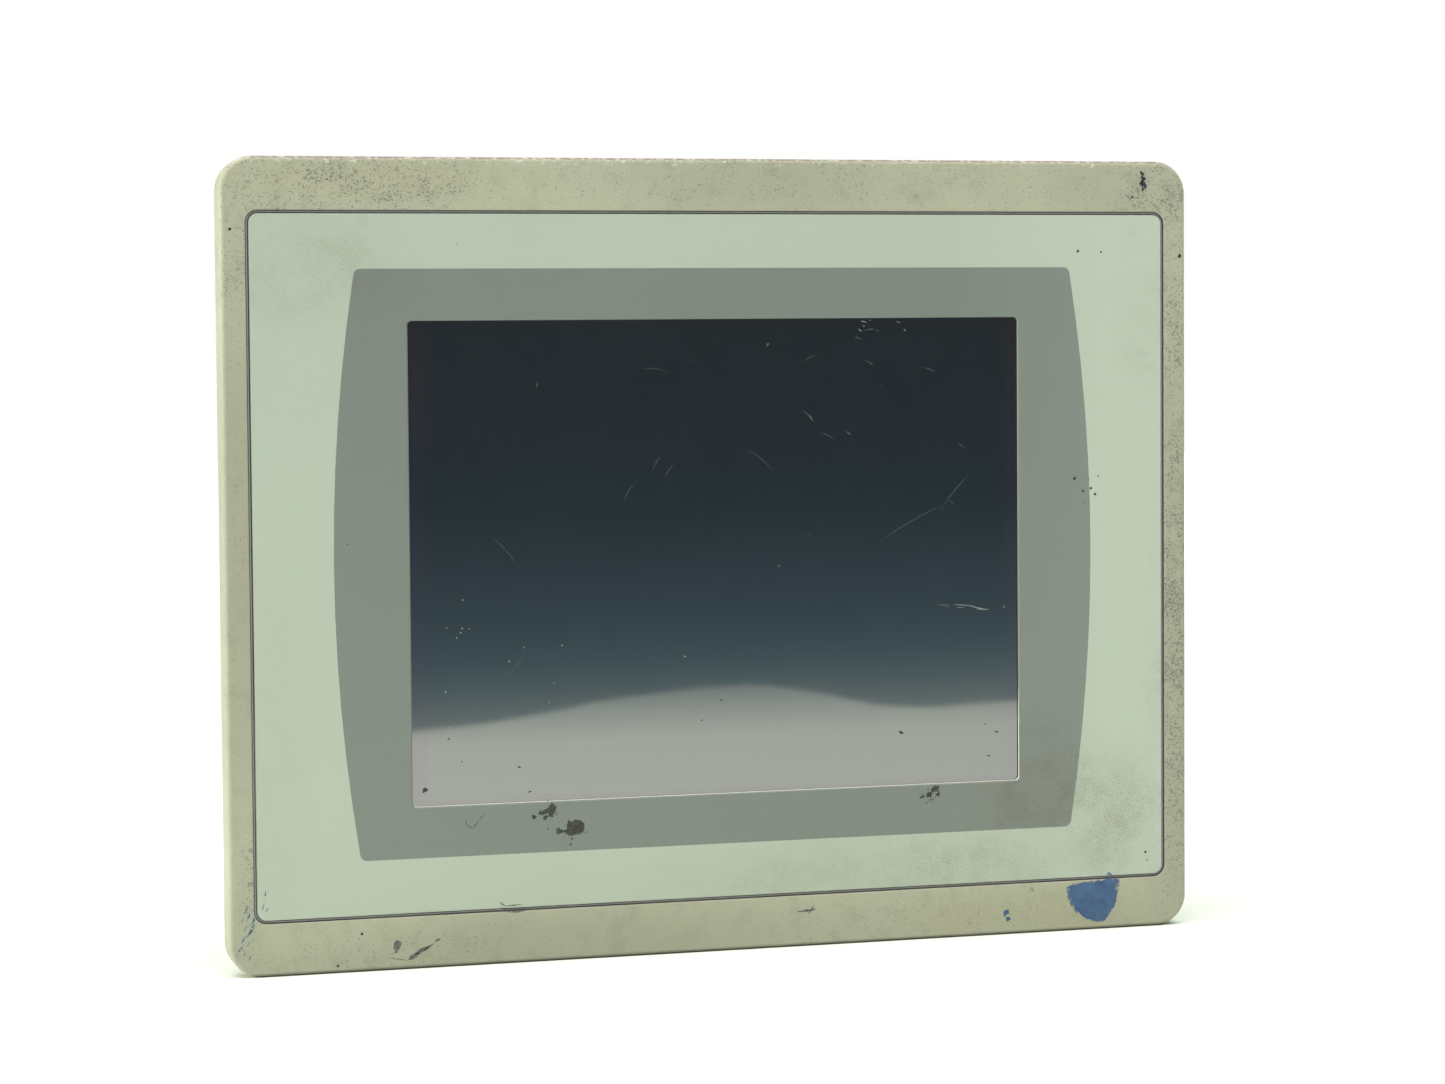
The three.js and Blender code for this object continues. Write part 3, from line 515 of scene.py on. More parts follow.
# The fourth and fifth colours of each film are painted light: lighter tones for the lower part and the right
# side.
pale_film = printed_film("screen_printed_polyester_pale", "adb6a8", "a8b1a3", "b3bbaa", "bac3b4", "8b8673")
grey_film = printed_film("screen_printed_polyester_grey", "767c77", "727973", "7d837b", "828982", "5f5848")
# The film's cut edge shows its clear core as a bright line at the foot of the window. Higher up, on the
# window's right wall, it is painted dark: painted shade.
cut_edge, tree = new_material("polyester_cut_edge")
mm = millimetres(tree)
axes = node(tree, "SeparateXYZ", {"Vector": mm}).outputs
nicks = node(tree, "TexNoise", {"Vector": mm, "Scale": 1 / 2.5, "Detail": 3.0})
core = blend_colours(tree, nicks.outputs["Fac"], linear("cfd3bf"), linear("f0f3e2"))
# Painted shade: above this height the cut edge turns dark olive, standing in for the shadow on the window's
# right wall.
painted_shade_above = node(tree, "MapRange", {"Value": axes["Z"], "From Min": -42.0, "From Max": -34.0})
core = blend_colours(tree, painted_shade_above.outputs["Result"], core, linear("85866f"))
shade = node(tree, "BsdfPrincipled", {"Base Color": core, "Roughness": 0.35, "IOR": 1.57})
node(tree, "OutputMaterial", {"Surface": shade.outputs["BSDF"]})

film_face, film_back = label_low.y / MM, label_high.y / MM
film_mesh = bmesh.new()
loops = [ring(label_width, label_height, 2.2, film_back),
         ring(label_width, label_height, 2.2, film_face + 0.15),
         ring(label_width - 0.12, label_height - 0.12, 2.15, film_face + 0.03),
         ring(label_width - 0.4, label_height - 0.4, 2.0, film_face),
         ring(surround_width, surround_height, 1.4, film_face, bow=surround_bow),
         ring(window_width + 0.8, window_height + 0.8, window_corner + 0.3, film_face,
              across=window_across),
         ring(window_width + 0.2, window_height + 0.2, window_corner, film_face + 0.28,
              across=window_across),
         ring(window_width, window_height, window_corner, film_face + 0.45, across=window_across),
         ring(window_width, window_height, window_corner, film_back, across=window_across)]
made = bridge(film_mesh, loops)
per_loop = len(loops[0])
finish_bands(made, per_loop, {0: 2, 4: 1, 5: 1, 6: 2, 7: 2})
# Above and on the left the bevel of the window was inked with the surround.
for face in made[5 * per_loop:8 * per_loop]:
    middle = face.calc_center_median() / MM
    if middle.z > -window_height / 2 + 0.3 and middle.x < window_width / 2 - 1.2:
        face.material_index = 1
piece("overlay_film", film_mesh, [pale_film, grey_film, cut_edge], replaces=["front_label"])

# ---------------------------------------------------------------------------------------------------
# Touch panel. A hard-coated touch film laminated to glass; behind it the unlit display reads as deep
# blue-black. A narrow band of spacer tape shows as a slightly different frame just inside the window.
touch_low, touch_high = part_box("touch_panel")


def coated_glass(name, deep, smear, mirror=(1, 1, 1, 1)):
    """Polished hard coat over a dark cell: mirror-like, with wiping marks that only dull the reflection."""
    material, tree = new_material(name)
    mm = millimetres(tree)
    haze = node(tree, "TexNoise", {"Vector": mm, "Scale": 1 / 18, "Detail": 4.0, "Roughness": 0.6})
    tone = blend_colours(tree, haze.outputs["Fac"], linear(deep), linear(smear))
    dust = specks(tree, mm, 2.6, node(tree, "MapRange", {
        "Value": haze.outputs["Fac"], "From Min": 0.3, "From Max": 0.8, "To Min": 0.02, "To Max": 0.16}
        ).outputs["Result"])
    tone = blend_colours(tree, dust, tone, linear("59635f"), 0.35)
    dull = node(tree, "MapRange", {"Value": haze.outputs["Fac"], "From Min": 0.35, "From Max": 0.75,
                                   "To Min": 0.02, "To Max": 0.045})
    shade = node(tree, "BsdfPrincipled", {"Base Color": tone, "Roughness": dull.outputs["Result"],
                                          "IOR": 2.0, "Specular IOR Level": 0.95, "Specular Tint": mirror,
                                          "Coat Weight": 1.0, "Coat Roughness": 0.02, "Coat IOR": 1.5})
    node(tree, "OutputMaterial", {"Surface": shade.outputs["BSDF"]})
    return material


dark_cell = coated_glass("hard_coated_touch_film", "12161a", "191f23")
spacer_band = coated_glass("spacer_tape_under_film", "1c1b20", "242226", (1.0, 0.93, 1.0, 1))
touch_width, touch_height = ((touch_high[i] - touch_low[i]) / MM for i in (0, 2))
glass_face, glass_back = touch_low.y / MM, touch_high.y / MM
glass_mesh = bmesh.new()
loops = [ring(touch_width, touch_height, 1.5, glass_back),
         ring(touch_width, touch_height, 1.5, glass_face + 0.3),
         ring(touch_width - 0.6, touch_height - 0.6, 1.2, glass_face),
         ring(window_width - 7.0, window_height - 2.6, 1.0, glass_face)]
made = bridge(glass_mesh, loops, closed=False)
finish_bands(made, len(loops[0]), {2: 1})
piece("touch_glass", glass_mesh, [dark_cell, spacer_band], replaces=["touch_panel"])

# ---------------------------------------------------------------------------------------------------
# Marks of use. Blue paint and dark splashes dried on the bezel and overlay, flakes and scuffs left by
# tools, and pale scratches in the hard coat. Each is a film a few hundredths of a millimetre thick.
def blot(mesh, x, z, across, up, turn, face_y, ragged=0.25, points=22, dome=0.05, seed=0):
    """A dried spot with a ragged outline, in mm, on the plane face_y."""
    turn = math.radians(turn)
    rim = []
    for i in range(points):
        a = 2 * math.pi * i / points
        swirl = Vector((math.cos(a) * 1.3 + seed * 7.1, math.sin(a) * 1.3, seed))
        wobble = 1 + ragged * 2 * noise.noise(swirl)
        px, pz = across * wobble * math.cos(a), up * wobble * math.sin(a)
        rim.append((x + px * math.cos(turn) - pz * math.sin(turn),
                    z + px * math.sin(turn) + pz * math.cos(turn)))
    film_over(mesh, rim, face_y, dome)


def film_over(mesh, rim, face_y, dome, jag=0.0):
    """A thin domed film inside an outline of (x, z) points in mm. Jag roughens its edge by that much."""
    if jag:
        rough = []
        for (x0, z0), (x1, z1) in zip(rim, rim[1:] + rim[:1]):
            count = max(1, round(math.hypot(x1 - x0, z1 - z0) / (jag * 0.7)))
            for t in (k / count for k in range(count)):
                x, z = x0 + (x1 - x0) * t, z0 + (z1 - z0) * t
                here = Vector((x * 1.1, z * 1.1, 0.5)) / jag
                apart = Vector((0.0, 0.0, 31.7))
                rough.append((x + noise.noise(here) * jag, z + noise.noise(here + apart) * jag))
        rim = rough
    middle = (sum(p[0] for p in rim) / len(rim), sum(p[1] for p in rim) / len(rim))
    rows = []
    for share, lift in ((1.0, -0.02), (0.985, dome * 0.55), (0.8, dome * 0.85), (0.4, dome)):
        rows.append([mesh.verts.new(Vector((middle[0] + (px - middle[0]) * share, face_y - lift,
                                            middle[1] + (pz - middle[1]) * share)) * MM) for px, pz in rim])
    for one, two in zip(rows, rows[1:]):
        for i in range(len(rim)):
            j = (i + 1) % len(rim)
            mesh.faces.new((one[i], one[j], two[j], two[i]))
    mesh.faces.new(rows[-1])


def scratch(mesh, start, end, width, face_y, bow=0.0, lift=0.02):
    """A scratch from start to end, both (x, z) in mm, pointed at its ends and bowed sideways."""
    steps = 8
    (x0, z0), (x1, z1) = start, end
    length = math.hypot(x1 - x0, z1 - z0)
    side = Vector((-(z1 - z0), x1 - x0)) / length
    edges = ([], [])
    for i in range(steps + 1):
        t = i / steps
        off = bow * 4 * t * (1 - t)
        taper = 0.25 + 0.75 * math.sin(math.pi * t)
        shaky = 0.8 + 0.4 * noise.noise(Vector((t * 9, x0, z0)))
        half = width / 2 * taper * shaky
        for edge, sign in zip(edges, (1, -1)):
            edge.append(mesh.verts.new(Vector((x0 + (x1 - x0) * t + side.x * (off + sign * half),
                                               face_y - lift,
                                               z0 + (z1 - z0) * t + side.y * (off + sign * half))) * MM))
    for i in range(steps):
        mesh.faces.new((edges[0][i], edges[0][i + 1], edges[1][i + 1], edges[1][i]))


def dried_film(name, light, dark, size, roughness, thin=0.0):
    """Something dried on: two tones in patches of that size in mm, worn through where it is thin."""
    material, tree = new_material(name)
    mm = millimetres(tree)
    patch = node(tree, "TexNoise", {"Vector": mm, "Scale": 1 / size, "Detail": 4.0, "Roughness": 0.6})
    even = node(tree, "MapRange", {"Value": patch.outputs["Fac"], "From Min": 0.35, "From Max": 0.65})
    tone = blend_colours(tree, even.outputs["Result"], linear(dark), linear(light))
    bump = node(tree, "Bump", {"Height": patch.outputs["Fac"], "Strength": 0.5, "Distance": 0.0001})
    worn = node(tree, "TexNoise", {"Vector": mm, "Scale": 2.2 / size, "Detail": 3.0})
    kept = node(tree, "MapRange", {"Value": worn.outputs["Fac"], "From Min": thin - 0.04,
                                   "From Max": thin + 0.04})
    shade = node(tree, "BsdfPrincipled", {"Base Color": tone, "Roughness": roughness, "IOR": 1.5,
                                          "Normal": bump.outputs["Normal"],
                                          "Alpha": kept.outputs["Result"]})
    node(tree, "OutputMaterial", {"Surface": shade.outputs["BSDF"]})
    return material


blue_paint = dried_film("blue_marking_paint", "426286", "324f78", 3.2, 0.5, thin=0.12)
blue_smear = dried_film("blue_paint_rubbed_thin", "4e6c8f", "38547c", 0.8, 0.6, thin=0.46)
dark_splash = dried_film("dark_ink_splash", "35313d", "201d26", 1.2, 0.5, thin=0.1)
brown_flake = dried_film("burnt_brown_flake", "46453a", "2a2926", 0.8, 0.7, thin=0.33)
grey_scuff = dried_film("grey_rubber_scuff", "6b6a66", "565651", 0.7, 0.7, thin=0.36)
pale_scratch = dried_film("crazed_hard_coat", "a8ab9f", "75838a", 0.7, 0.5, thin=0.36)
faint_scratch = dried_film("hairline_in_hard_coat", "5f6b72", "465158", 1.0, 0.5, thin=0.35)

on_bezel, on_film, on_glass = bezel_face, film_face, glass_face
mesh = bmesh.new()
film_over(mesh, [(90.8, -85.9), (91.3, -85.0), (93.7, -84.7), (96.8, -84.8), (98.7, -84.4), (100.1, -84.1),
                 (101.0, -83.8), (102.6, -84.0), (103.2, -85.2), (103.4, -86.5), (103.8, -88.8),
                 (103.3, -90.5), (102.2, -92.1), (101.0, -93.8), (99.8, -94.7), (97.7, -94.5),
                 (95.5, -93.8), (93.4, -92.2), (92.2, -90.5), (91.2, -88.7), (90.9, -87.3)], on_bezel, 0.12,
          jag=0.3)
for x, z, across, up, turn in ((73.7, -90.9, 0.8, 0.55, 10), (74.1, -92.6, 0.7, 0.6, -30),
                               (73.3, -91.7, 0.3, 0.3, 0)):
    blot(mesh, x, z, across, up, turn, on_bezel, seed=x)
piece("blue_paint_spots", mesh, [blue_paint])

# The tongue of the big spot, rubbed thin up to the overlay, and strokes wiped into the lower left corner.
mesh = bmesh.new()
film_over(mesh, [(100.6, -86.8), (103.9, -88.4), (104.3, -86.0), (104.6, -84.4), (103.4, -83.7),
                 (101.0, -83.6)],
          on_bezel, 0.05, jag=0.35)
film_over(mesh, [(101.0, -82.9), (102.6, -83.2), (102.2, -82.4), (101.4, -82.2)], on_film, 0.05, jag=0.2)
film_over(mesh, [(90.0, -85.4), (92.5, -84.4), (94.0, -89.0), (93.0, -92.6), (90.8, -89.6), (90.2, -87.2)],
          on_bezel, 0.05, jag=0.35)
film_over(mesh, [(93.5, -84.6), (99.0, -84.0), (99.4, -85.4), (94.0, -86.0)], on_bezel, 0.05, jag=0.3)
for x, z, length, width, lean in ((-118.9, -80.2, 2.0, 0.45, 62), (-118.4, -82.0, 2.4, 0.5, 64),
                                  (-117.2, -82.8, 2.2, 0.9, 66), (-117.6, -84.8, 2.6, 1.1, 64),
                                  (-118.4, -86.0, 2.0, 0.5, 58), (-119.2, -84.6, 1.8, 0.35, 60),
                                  (-119.6, -87.2, 2.0, 0.5, 56), (-118.5, -88.3, 1.6, 0.35, 60),
                                  (-120.4, -89.4, 2.4, 0.45, 50), (-117.4, -87.4, 1.2, 0.3, 64),
                                  (-119.5, -90.6, 1.6, 0.35, 62), (-118.2, -91.6, 1.4, 0.3, 62),
                                  (-121.2, -90.8, 1.0, 0.3, 40), (-119.8, -82.6, 1.4, 0.3, 58)):
    lean = math.radians(lean)
    reach = (length / 2 * math.cos(lean), length / 2 * math.sin(lean))
    scratch(mesh, (x - reach[0], z - reach[1]), (x + reach[0], z + reach[1]), width, on_bezel)
for x, z, length in ((-114.6, -78.0, 2.2), (-115.1, -80.6, 1.6), (-114.2, -81.0, 1.0)):
    scratch(mesh, (x, z), (x + 0.5, z + length), 0.4, on_film)
piece("blue_paint_strokes", mesh, [blue_smear])

# Ink splashes, the chipped edge and the flakes of burnt plastic beside the window.
mesh = bmesh.new()
for x, z, across, up, turn in ((111.2, 93.6, 0.9, 0.5, -60), (111.5, 92.2, 0.6, 0.8, 20),
                               (111.0, 91.0, 0.5, 0.7, -20), (111.9, 90.6, 0.4, 0.8, 10),
                               (111.3, 89.6, 0.3, 0.5, 0), (108.4, 87.6, 0.32, 0.28, 0)):
    blot(mesh, x, z, across, up, turn, on_bezel, ragged=0.5, seed=z)
for x, z, across in ((-97.1, -94.7, 0.34), (-91.2, -87.4, 0.36), (-120.6, 79.4, 0.35), (121.4, 72.8, 0.5)):
    blot(mesh, x, z, across, across * 0.9, 0, on_bezel, seed=x)
for x, z, across in ((93.6, 74.1, 0.42), (99.9, 73.9, 0.26), (111.7, -77.6, 0.34), (112.2, -79.6, 0.2),
                     (92.6, 17.4, 0.42), (94.8, 14.1, 0.36), (97.0, 14.8, 0.34), (98.1, 13.3, 0.38),
                     (96.4, 17.2, 0.2), (99.0, 17.8, 0.2), (95.3, 11.2, 0.16), (-93.6, 5.2, 0.18),
                     (-66.2, 76.0, 0.16)):
    blot(mesh, x, z, across, across * 0.85, 30, on_film, seed=x)
piece("ink_splashes", mesh, [dark_splash])

mesh = bmesh.new()
for rim in ([(-40.1, -62.5), (-39.3, -63.0), (-38.3, -62.5), (-36.8, -62.9), (-36.0, -63.5), (-36.0, -64.7),
             (-36.5, -65.8), (-37.6, -66.1), (-38.6, -66.3), (-39.8, -66.4), (-40.5, -65.9),
             (-40.4, -64.4)],
            [(-40.2, -64.9), (-41.2, -65.0), (-42.2, -64.8), (-43.2, -64.4), (-42.6, -65.1), (-43.2, -65.6),
             (-42.0, -65.7), (-41.0, -65.4), (-40.2, -65.7)],
            [(-44.1, -58.1), (-42.9, -59.2), (-43.4, -60.6), (-44.3, -61.5), (-45.0, -61.4),
             (-44.9, -59.6)],
            [(-45.0, -59.4), (-46.0, -59.9), (-47.5, -60.6), (-46.9, -61.1), (-45.8, -60.9),
             (-45.0, -60.6)],
            [(-45.1, -61.3), (-45.8, -62.4), (-46.4, -61.9), (-45.7, -61.1)],
            [(-49.2, -61.0), (-48.3, -61.0), (-47.8, -61.5), (-48.5, -62.1), (-48.9, -61.8)],
            [(56.0, -58.3), (55.4, -59.8), (54.2, -59.9), (53.6, -59.2), (54.6, -58.4)],
            [(54.0, -59.6), (53.8, -60.9), (52.6, -61.2), (52.4, -60.2)],
            [(55.9, -59.4), (55.9, -61.0), (55.1, -60.8)],
            [(52.3, -60.6), (51.2, -61.4), (50.4, -61.2), (51.4, -60.6)],
            [(53.9, -61.6), (53.2, -62.2), (53.4, -61.5)]):
    film_over(mesh, rim, on_film, 0.08, jag=0.24)
chance = random.Random(3)
for x, z, reach in ((-45.4, -60.6, 2.0), (-41.4, -65.2, 1.8), (-38.2, -65.0, 2.2), (53.4, -60.6, 2.0)):
    for i in range(16):
        size = chance.uniform(0.08, 0.2)
        blot(mesh, x + chance.gauss(0, 0.6) * reach, z + chance.gauss(0, 0.45) * reach, size * 1.3, size,
             chance.uniform(0, 180), on_film, seed=i, points=10)
for x, z, size in ((-45.1, -64.4, 0.2), (-39.1, -67.1, 0.24), (-39.5, -68.5, 0.26)):
    blot(mesh, x, z, size, size, 0, on_film, seed=x)
piece("burnt_flakes", mesh, [brown_flake])

mesh = bmesh.new()
blot(mesh, -82.6, -90.6, 0.95, 1.3, -15, on_bezel, ragged=0.12, seed=3)
blot(mesh, -82.9, -92.2, 0.5, 0.3, 10, on_bezel, ragged=0.4, seed=4)
for start, end, width in (((-79.9, -94.1), (-77.2, -92.7), 1.4), ((-78.4, -93.0), (-75.4, -91.4), 1.2),
                          ((-76.2, -92.3), (-74.4, -91.0), 0.9), ((-74.9, -91.3), (-73.6, -90.6), 0.35),
                          ((-73.4, -90.2), (-72.0, -89.5), 0.7), ((-85.0, -93.4), (-80.4, -94.3), 0.25),
                          ((18.2, -87.9), (23.2, -87.5), 0.7), ((21.2, -88.6), (22.6, -86.6), 0.5),
                          ((80.0, -86.3), (80.6, -84.9), 0.3), ((80.6, -84.9), (81.2, -86.3), 0.3),
                          ((-57.0, -82.9), (-54.8, -84.1), 0.6), ((-54.8, -84.1), (-51.0, -83.9), 0.7)):
    scratch(mesh, start, end, width, on_bezel)
for start, end, width in (((-57.3, -81.6), (-55.9, -82.6), 0.5), ((-55.9, -82.6), (-51.8, -82.4), 0.4),
                          ((-65.6, -61.2), (-65.2, -62.8), 0.4), ((-65.2, -62.8), (-63.6, -63.4), 0.5),
                          ((-63.6, -63.4), (-62.4, -61.8), 0.5), ((-62.4, -61.8), (-60.9, -60.2), 0.35)):
    scratch(mesh, start, end, width, on_film)
piece("rubbed_scuffs", mesh, [grey_scuff])

# Scratches and chips in the hard coat: a few deep, most of them hairlines, with specks of lint between.
mesh = bmesh.new()
for start, end, width, bow in (((60.2, -13.5), (64.8, -13.9), 0.2, 0.1),
                               ((64.2, -13.7), (69.8, -15.0), 0.3, -0.15),
                               ((61.0, -14.1), (63.2, -14.3), 0.14, 0.0),
                               ((66.0, -14.7), (68.4, -15.0), 0.14, 0.0),
                               ((36.0, 57.0), (37.8, 56.6), 0.2, 0.1),
                               ((35.4, 55.2), (36.4, 54.4), 0.18, 0.0),
                               ((45.4, 56.9), (46.6, 56.5), 0.16, 0.0),
                               ((12.2, 51.8), (11.6, 51.0), 0.18, 0.0),
                               ((22.6, 34.0), (23.2, 33.3), 0.18, 0.0)):
    scratch(mesh, start, end, width, on_glass, bow)
chance = random.Random(7)
for x, z in ((-65.4, -8.8), (-65.6, -15.6), (-67.0, -17.8), (-69.4, -15.3), (-63.9, -15.7), (14.5, -2.6),
             (73.8, -14.4), (-50.4, -20.6), (-54.1, -23.8), (-40.9, -20.4), (-9.9, -24.1), (-69.8, -30.7),
             (-43.0, -29.5), (-44.3, -34.1), (-69.1, -39.1), (-66.0, -16.6), (36.9, 55.8), (40.6, 54.6),
             (47.7, 54.7), (38.6, 57.2)):
    size = chance.uniform(0.09, 0.19)
    blot(mesh, x, z, size * 1.4, size, chance.uniform(0, 180), on_glass, seed=x, points=12)
piece("hard_coat_chips", mesh, [pale_scratch])
mesh = bmesh.new()
for start, end, width, bow in (((56.0, -13.2), (59.4, -14.0), 0.2, 0.0),
                               ((57.6, -13.4), (59.0, -13.3), 0.14, 0.0),
                               ((56.8, 9.8), (64.6, 18.9), 0.13, 0.4),
                               ((40.8, 2.6), (57.8, 11.4), 0.12, 0.6),
                               ((37.0, 54.6), (40.0, 55.0), 0.22, 0.2),
                               ((34.6, 53.2), (36.4, 52.6), 0.2, 0.0),
                               ((20.6, 35.4), (23.6, 32.4), 0.2, 0.3),
                               ((25.8, 29.8), (28.8, 28.2), 0.18, 0.1),
                               ((31.8, 30.2), (33.4, 29.0), 0.2, 0.1),
                               ((21.4, 47.2), (24.8, 48.6), 0.14, 0.5),
                               ((37.0, 47.4), (39.4, 46.0), 0.18, 0.2),
                               ((52.8, 45.4), (55.6, 44.4), 0.16, 0.1),
                               ((61.6, 26.6), (63.6, 25.2), 0.18, 0.1),
                               ((-17.5, 21.6), (-15.6, 24.6), 0.14, 0.3),
                               ((-14.6, 19.6), (-12.4, 22.4), 0.13, 0.3),
                               ((-25.0, 14.0), (-22.5, 18.0), 0.11, 0.3),
                               ((-46.3, 42.9), (-46.7, 41.6), 0.22, 0.0),
                               ((59.0, 12.6), (60.6, 11.6), 0.18, 0.0),
                               ((-57.0, -29.0), (-50.0, -21.5), 0.10, -0.8),
                               ((-58.0, 6.0), (-52.0, -1.0), 0.10, 0.5),
                               ((-20.0, 46.0), (-13.0, 44.8), 0.10, 0.4),
                               ((6.0, 26.0), (13.0, 20.6), 0.10, 0.6)):
    scratch(mesh, start, end, width, on_glass, bow)
for i in range(80):
    size = chance.uniform(0.05, 0.11)
    blot(mesh, chance.uniform(-74, 74), chance.uniform(-50, 54), size * 1.6, size, chance.uniform(0, 180),
         on_glass, seed=i, points=8)
piece("hard_coat_hairlines", mesh, [faint_scratch])

# Grit stuck to the screen.
mesh = bmesh.new()
for x, z, size in ((-75.2, -54.0, 0.62), (-69.2, -41.9, 0.24), (-51.9, -49.4, 0.28), (-49.3, -55.4, 0.3),
                   (-0.7, -35.1, 0.2), (-5.7, -39.8, 0.2), (68.6, -43.5, 0.2), (-66.0, -47.5, 0.18)):
    blot(mesh, x, z, size * 1.3, size * 0.8, 20, on_glass, ragged=0.4, seed=x)
blot(mesh, 46.2, -44.8, 0.6, 0.34, -20, on_glass, ragged=0.4, seed=5)
blot(mesh, 71.8, -45.6, 0.5, 0.2, 0, on_glass, ragged=0.4, seed=6)
blot(mesh, 69.6, -51.5, 0.4, 0.16, 0, on_glass, ragged=0.4, seed=8)
piece("grit_on_screen", mesh, [dark_splash])

# ---------------------------------------------------------------------------------------------------
# Gasket. A ring of closed-cell foam pressed into the groove behind the bezel, skinned on both faces.
def worked_surface(name, light, dark, size, roughness, metallic=0.0, relief=0.0, ior=1.5,
                   stretch=(1, 1, 1)):
    """A material of two tones in a pattern of that size in mm, with its roughness range and the depth of
    its relief in mm. Stretch is how much finer the pattern runs along each axis."""
    material, tree = new_material(name)
    mm = millimetres(tree)
    if stretch != (1, 1, 1):
        mm = node(tree, "VectorMath", {0: mm, 1: stretch}, operation="MULTIPLY").outputs["Vector"]
    pattern = node(tree, "TexNoise", {"Vector": mm, "Scale": 1 / size, "Detail": 4.0, "Roughness": 0.6})
    broad = node(tree, "TexNoise", {"Vector": mm, "Scale": 1 / (22 * size), "Detail": 2.0})
    both = node(tree, "Math", {0: pattern.outputs["Fac"], 1: 0.45, 2: node(tree, "Math", {
        0: broad.outputs["Fac"], 1: 0.55}, operation="MULTIPLY").outputs["Value"]},
                operation="MULTIPLY_ADD")
    spread = node(tree, "MapRange", {"Value": both.outputs["Value"], "From Min": 0.34, "From Max": 0.66})
    tone = blend_colours(tree, spread.outputs["Result"], linear(dark), linear(light))
    gloss = node(tree, "MapRange", {"Value": broad.outputs["Fac"], "From Min": 0.3, "From Max": 0.7,
                                    "To Min": roughness[0], "To Max": roughness[1]})
    inputs = {"Base Color": tone, "Roughness": gloss.outputs["Result"], "Metallic": metallic}
    if not metallic:
        inputs["IOR"] = ior
    if relief:
        bump = node(tree, "Bump", {"Height": pattern.outputs["Fac"], "Strength": 0.6,
                                   "Distance": relief * MM})
        inputs["Normal"] = bump.outputs["Normal"]
    shade = node(tree, "BsdfPrincipled", inputs)
    node(tree, "OutputMaterial", {"Surface": shade.outputs["BSDF"]})
    return material


# Neoprene foam: nearly black and quite matt, with cells of about 0.3 mm, drawn at 0.5 mm.
closed_cell_foam = worked_surface("closed_cell_neoprene_foam", "34342f", "1f201f", 0.5, (0.85, 0.98),
                                  relief=0.08)
gasket_low, gasket_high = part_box("bezel_gasket")
gasket_width, gasket_height = ((gasket_high[i] - gasket_low[i]) / MM for i in (0, 2))
gasket_band, skin = 6.5, 0.45
foam_mesh = bmesh.new()
inner = (gasket_width - 2 * gasket_band, gasket_height - 2 * gasket_band)
bridge(foam_mesh, [ring(gasket_width - 2 * skin, gasket_height - 2 * skin, 5.5, gasket_low.y / MM),
                   ring(gasket_width, gasket_height, 6, gasket_low.y / MM + skin),
                   ring(gasket_width, gasket_height, 6, -skin),
                   ring(gasket_width - 2 * skin, gasket_height - 2 * skin, 5.5, 0),
                   ring(inner[0] + 2 * skin, inner[1] + 2 * skin, 4.4, 0),
                   ring(inner[0], inner[1], 4, -skin),
                   ring(inner[0], inner[1], 4, gasket_low.y / MM + skin),
                   ring(inner[0] + 2 * skin, inner[1] + 2 * skin, 4.4, gasket_low.y / MM)])
piece("foam_gasket", foam_mesh, [closed_cell_foam], replaces=["bezel_gasket"])


# ---------------------------------------------------------------------------------------------------
# Rear housing. A tray moulded in ABS that fits round the bezel's collar and is held by four screws. Each
# lever turns in a slot in its wall, and low ribs stiffen the back where the module doesn't cover it.
def arc(cx, cz, radius, start, end, steps=5):
    """Points on an arc, in mm and degrees."""
    turns = [math.radians(start + (end - start) * i / steps) for i in range(steps + 1)]
    return [(cx + radius * math.cos(a), cz + radius * math.sin(a)) for a in turns]


def plate(x0, x1, z0, z1, corner=0.0):
    """A rectangle's outline, with round corners if it has any."""
    if not corner:
        return [(x0, z0), (x1, z0), (x1, z1), (x0, z1)]
    return (arc(x1 - corner, z0 + corner, corner, -90, 0) + arc(x1 - corner, z1 - corner, corner, 0, 90)
            + arc(x0 + corner, z1 - corner, corner, 90, 180)
            + arc(x0 + corner, z0 + corner, corner, 180, 270))


def prism(mesh, outline, axis, start, end, edge=0.0, finish=0):
    """An outline, in mm in the other two axes, drawn out along an axis, with its edges broken by edge mm."""
    def place(a, b, along):
        return Vector({"x": (along, a, b), "y": (a, along, b), "z": (a, b, along)}[axis]) * MM
    low = [mesh.verts.new(place(a, b, start)) for a, b in outline]
    high = [mesh.verts.new(place(a, b, end)) for a, b in outline]
    made = [mesh.faces.new(low), mesh.faces.new(high)]
    for i in range(len(low)):
        j = (i + 1) % len(low)
        made.append(mesh.faces.new((low[i], low[j], high[j], high[i])))
    for face in made:
        face.material_index = finish
    bmesh.ops.recalc_face_normals(mesh, faces=made)
    if edge:
        sharp = {e for face in made for e in face.edges if e.calc_face_angle(0) > math.radians(35)}
        bmesh.ops.bevel(mesh, geom=list(sharp), offset=edge * MM, segments=2, profile=0.5, affect="EDGES",
                        clamp_overlap=True, material=-1)


def block(mesh, x, y, z, edge=0.0, finish=0):
    """A block between two limits in each axis."""
    prism(mesh, plate(*x, *z), "y", *y, edge=edge, finish=finish)


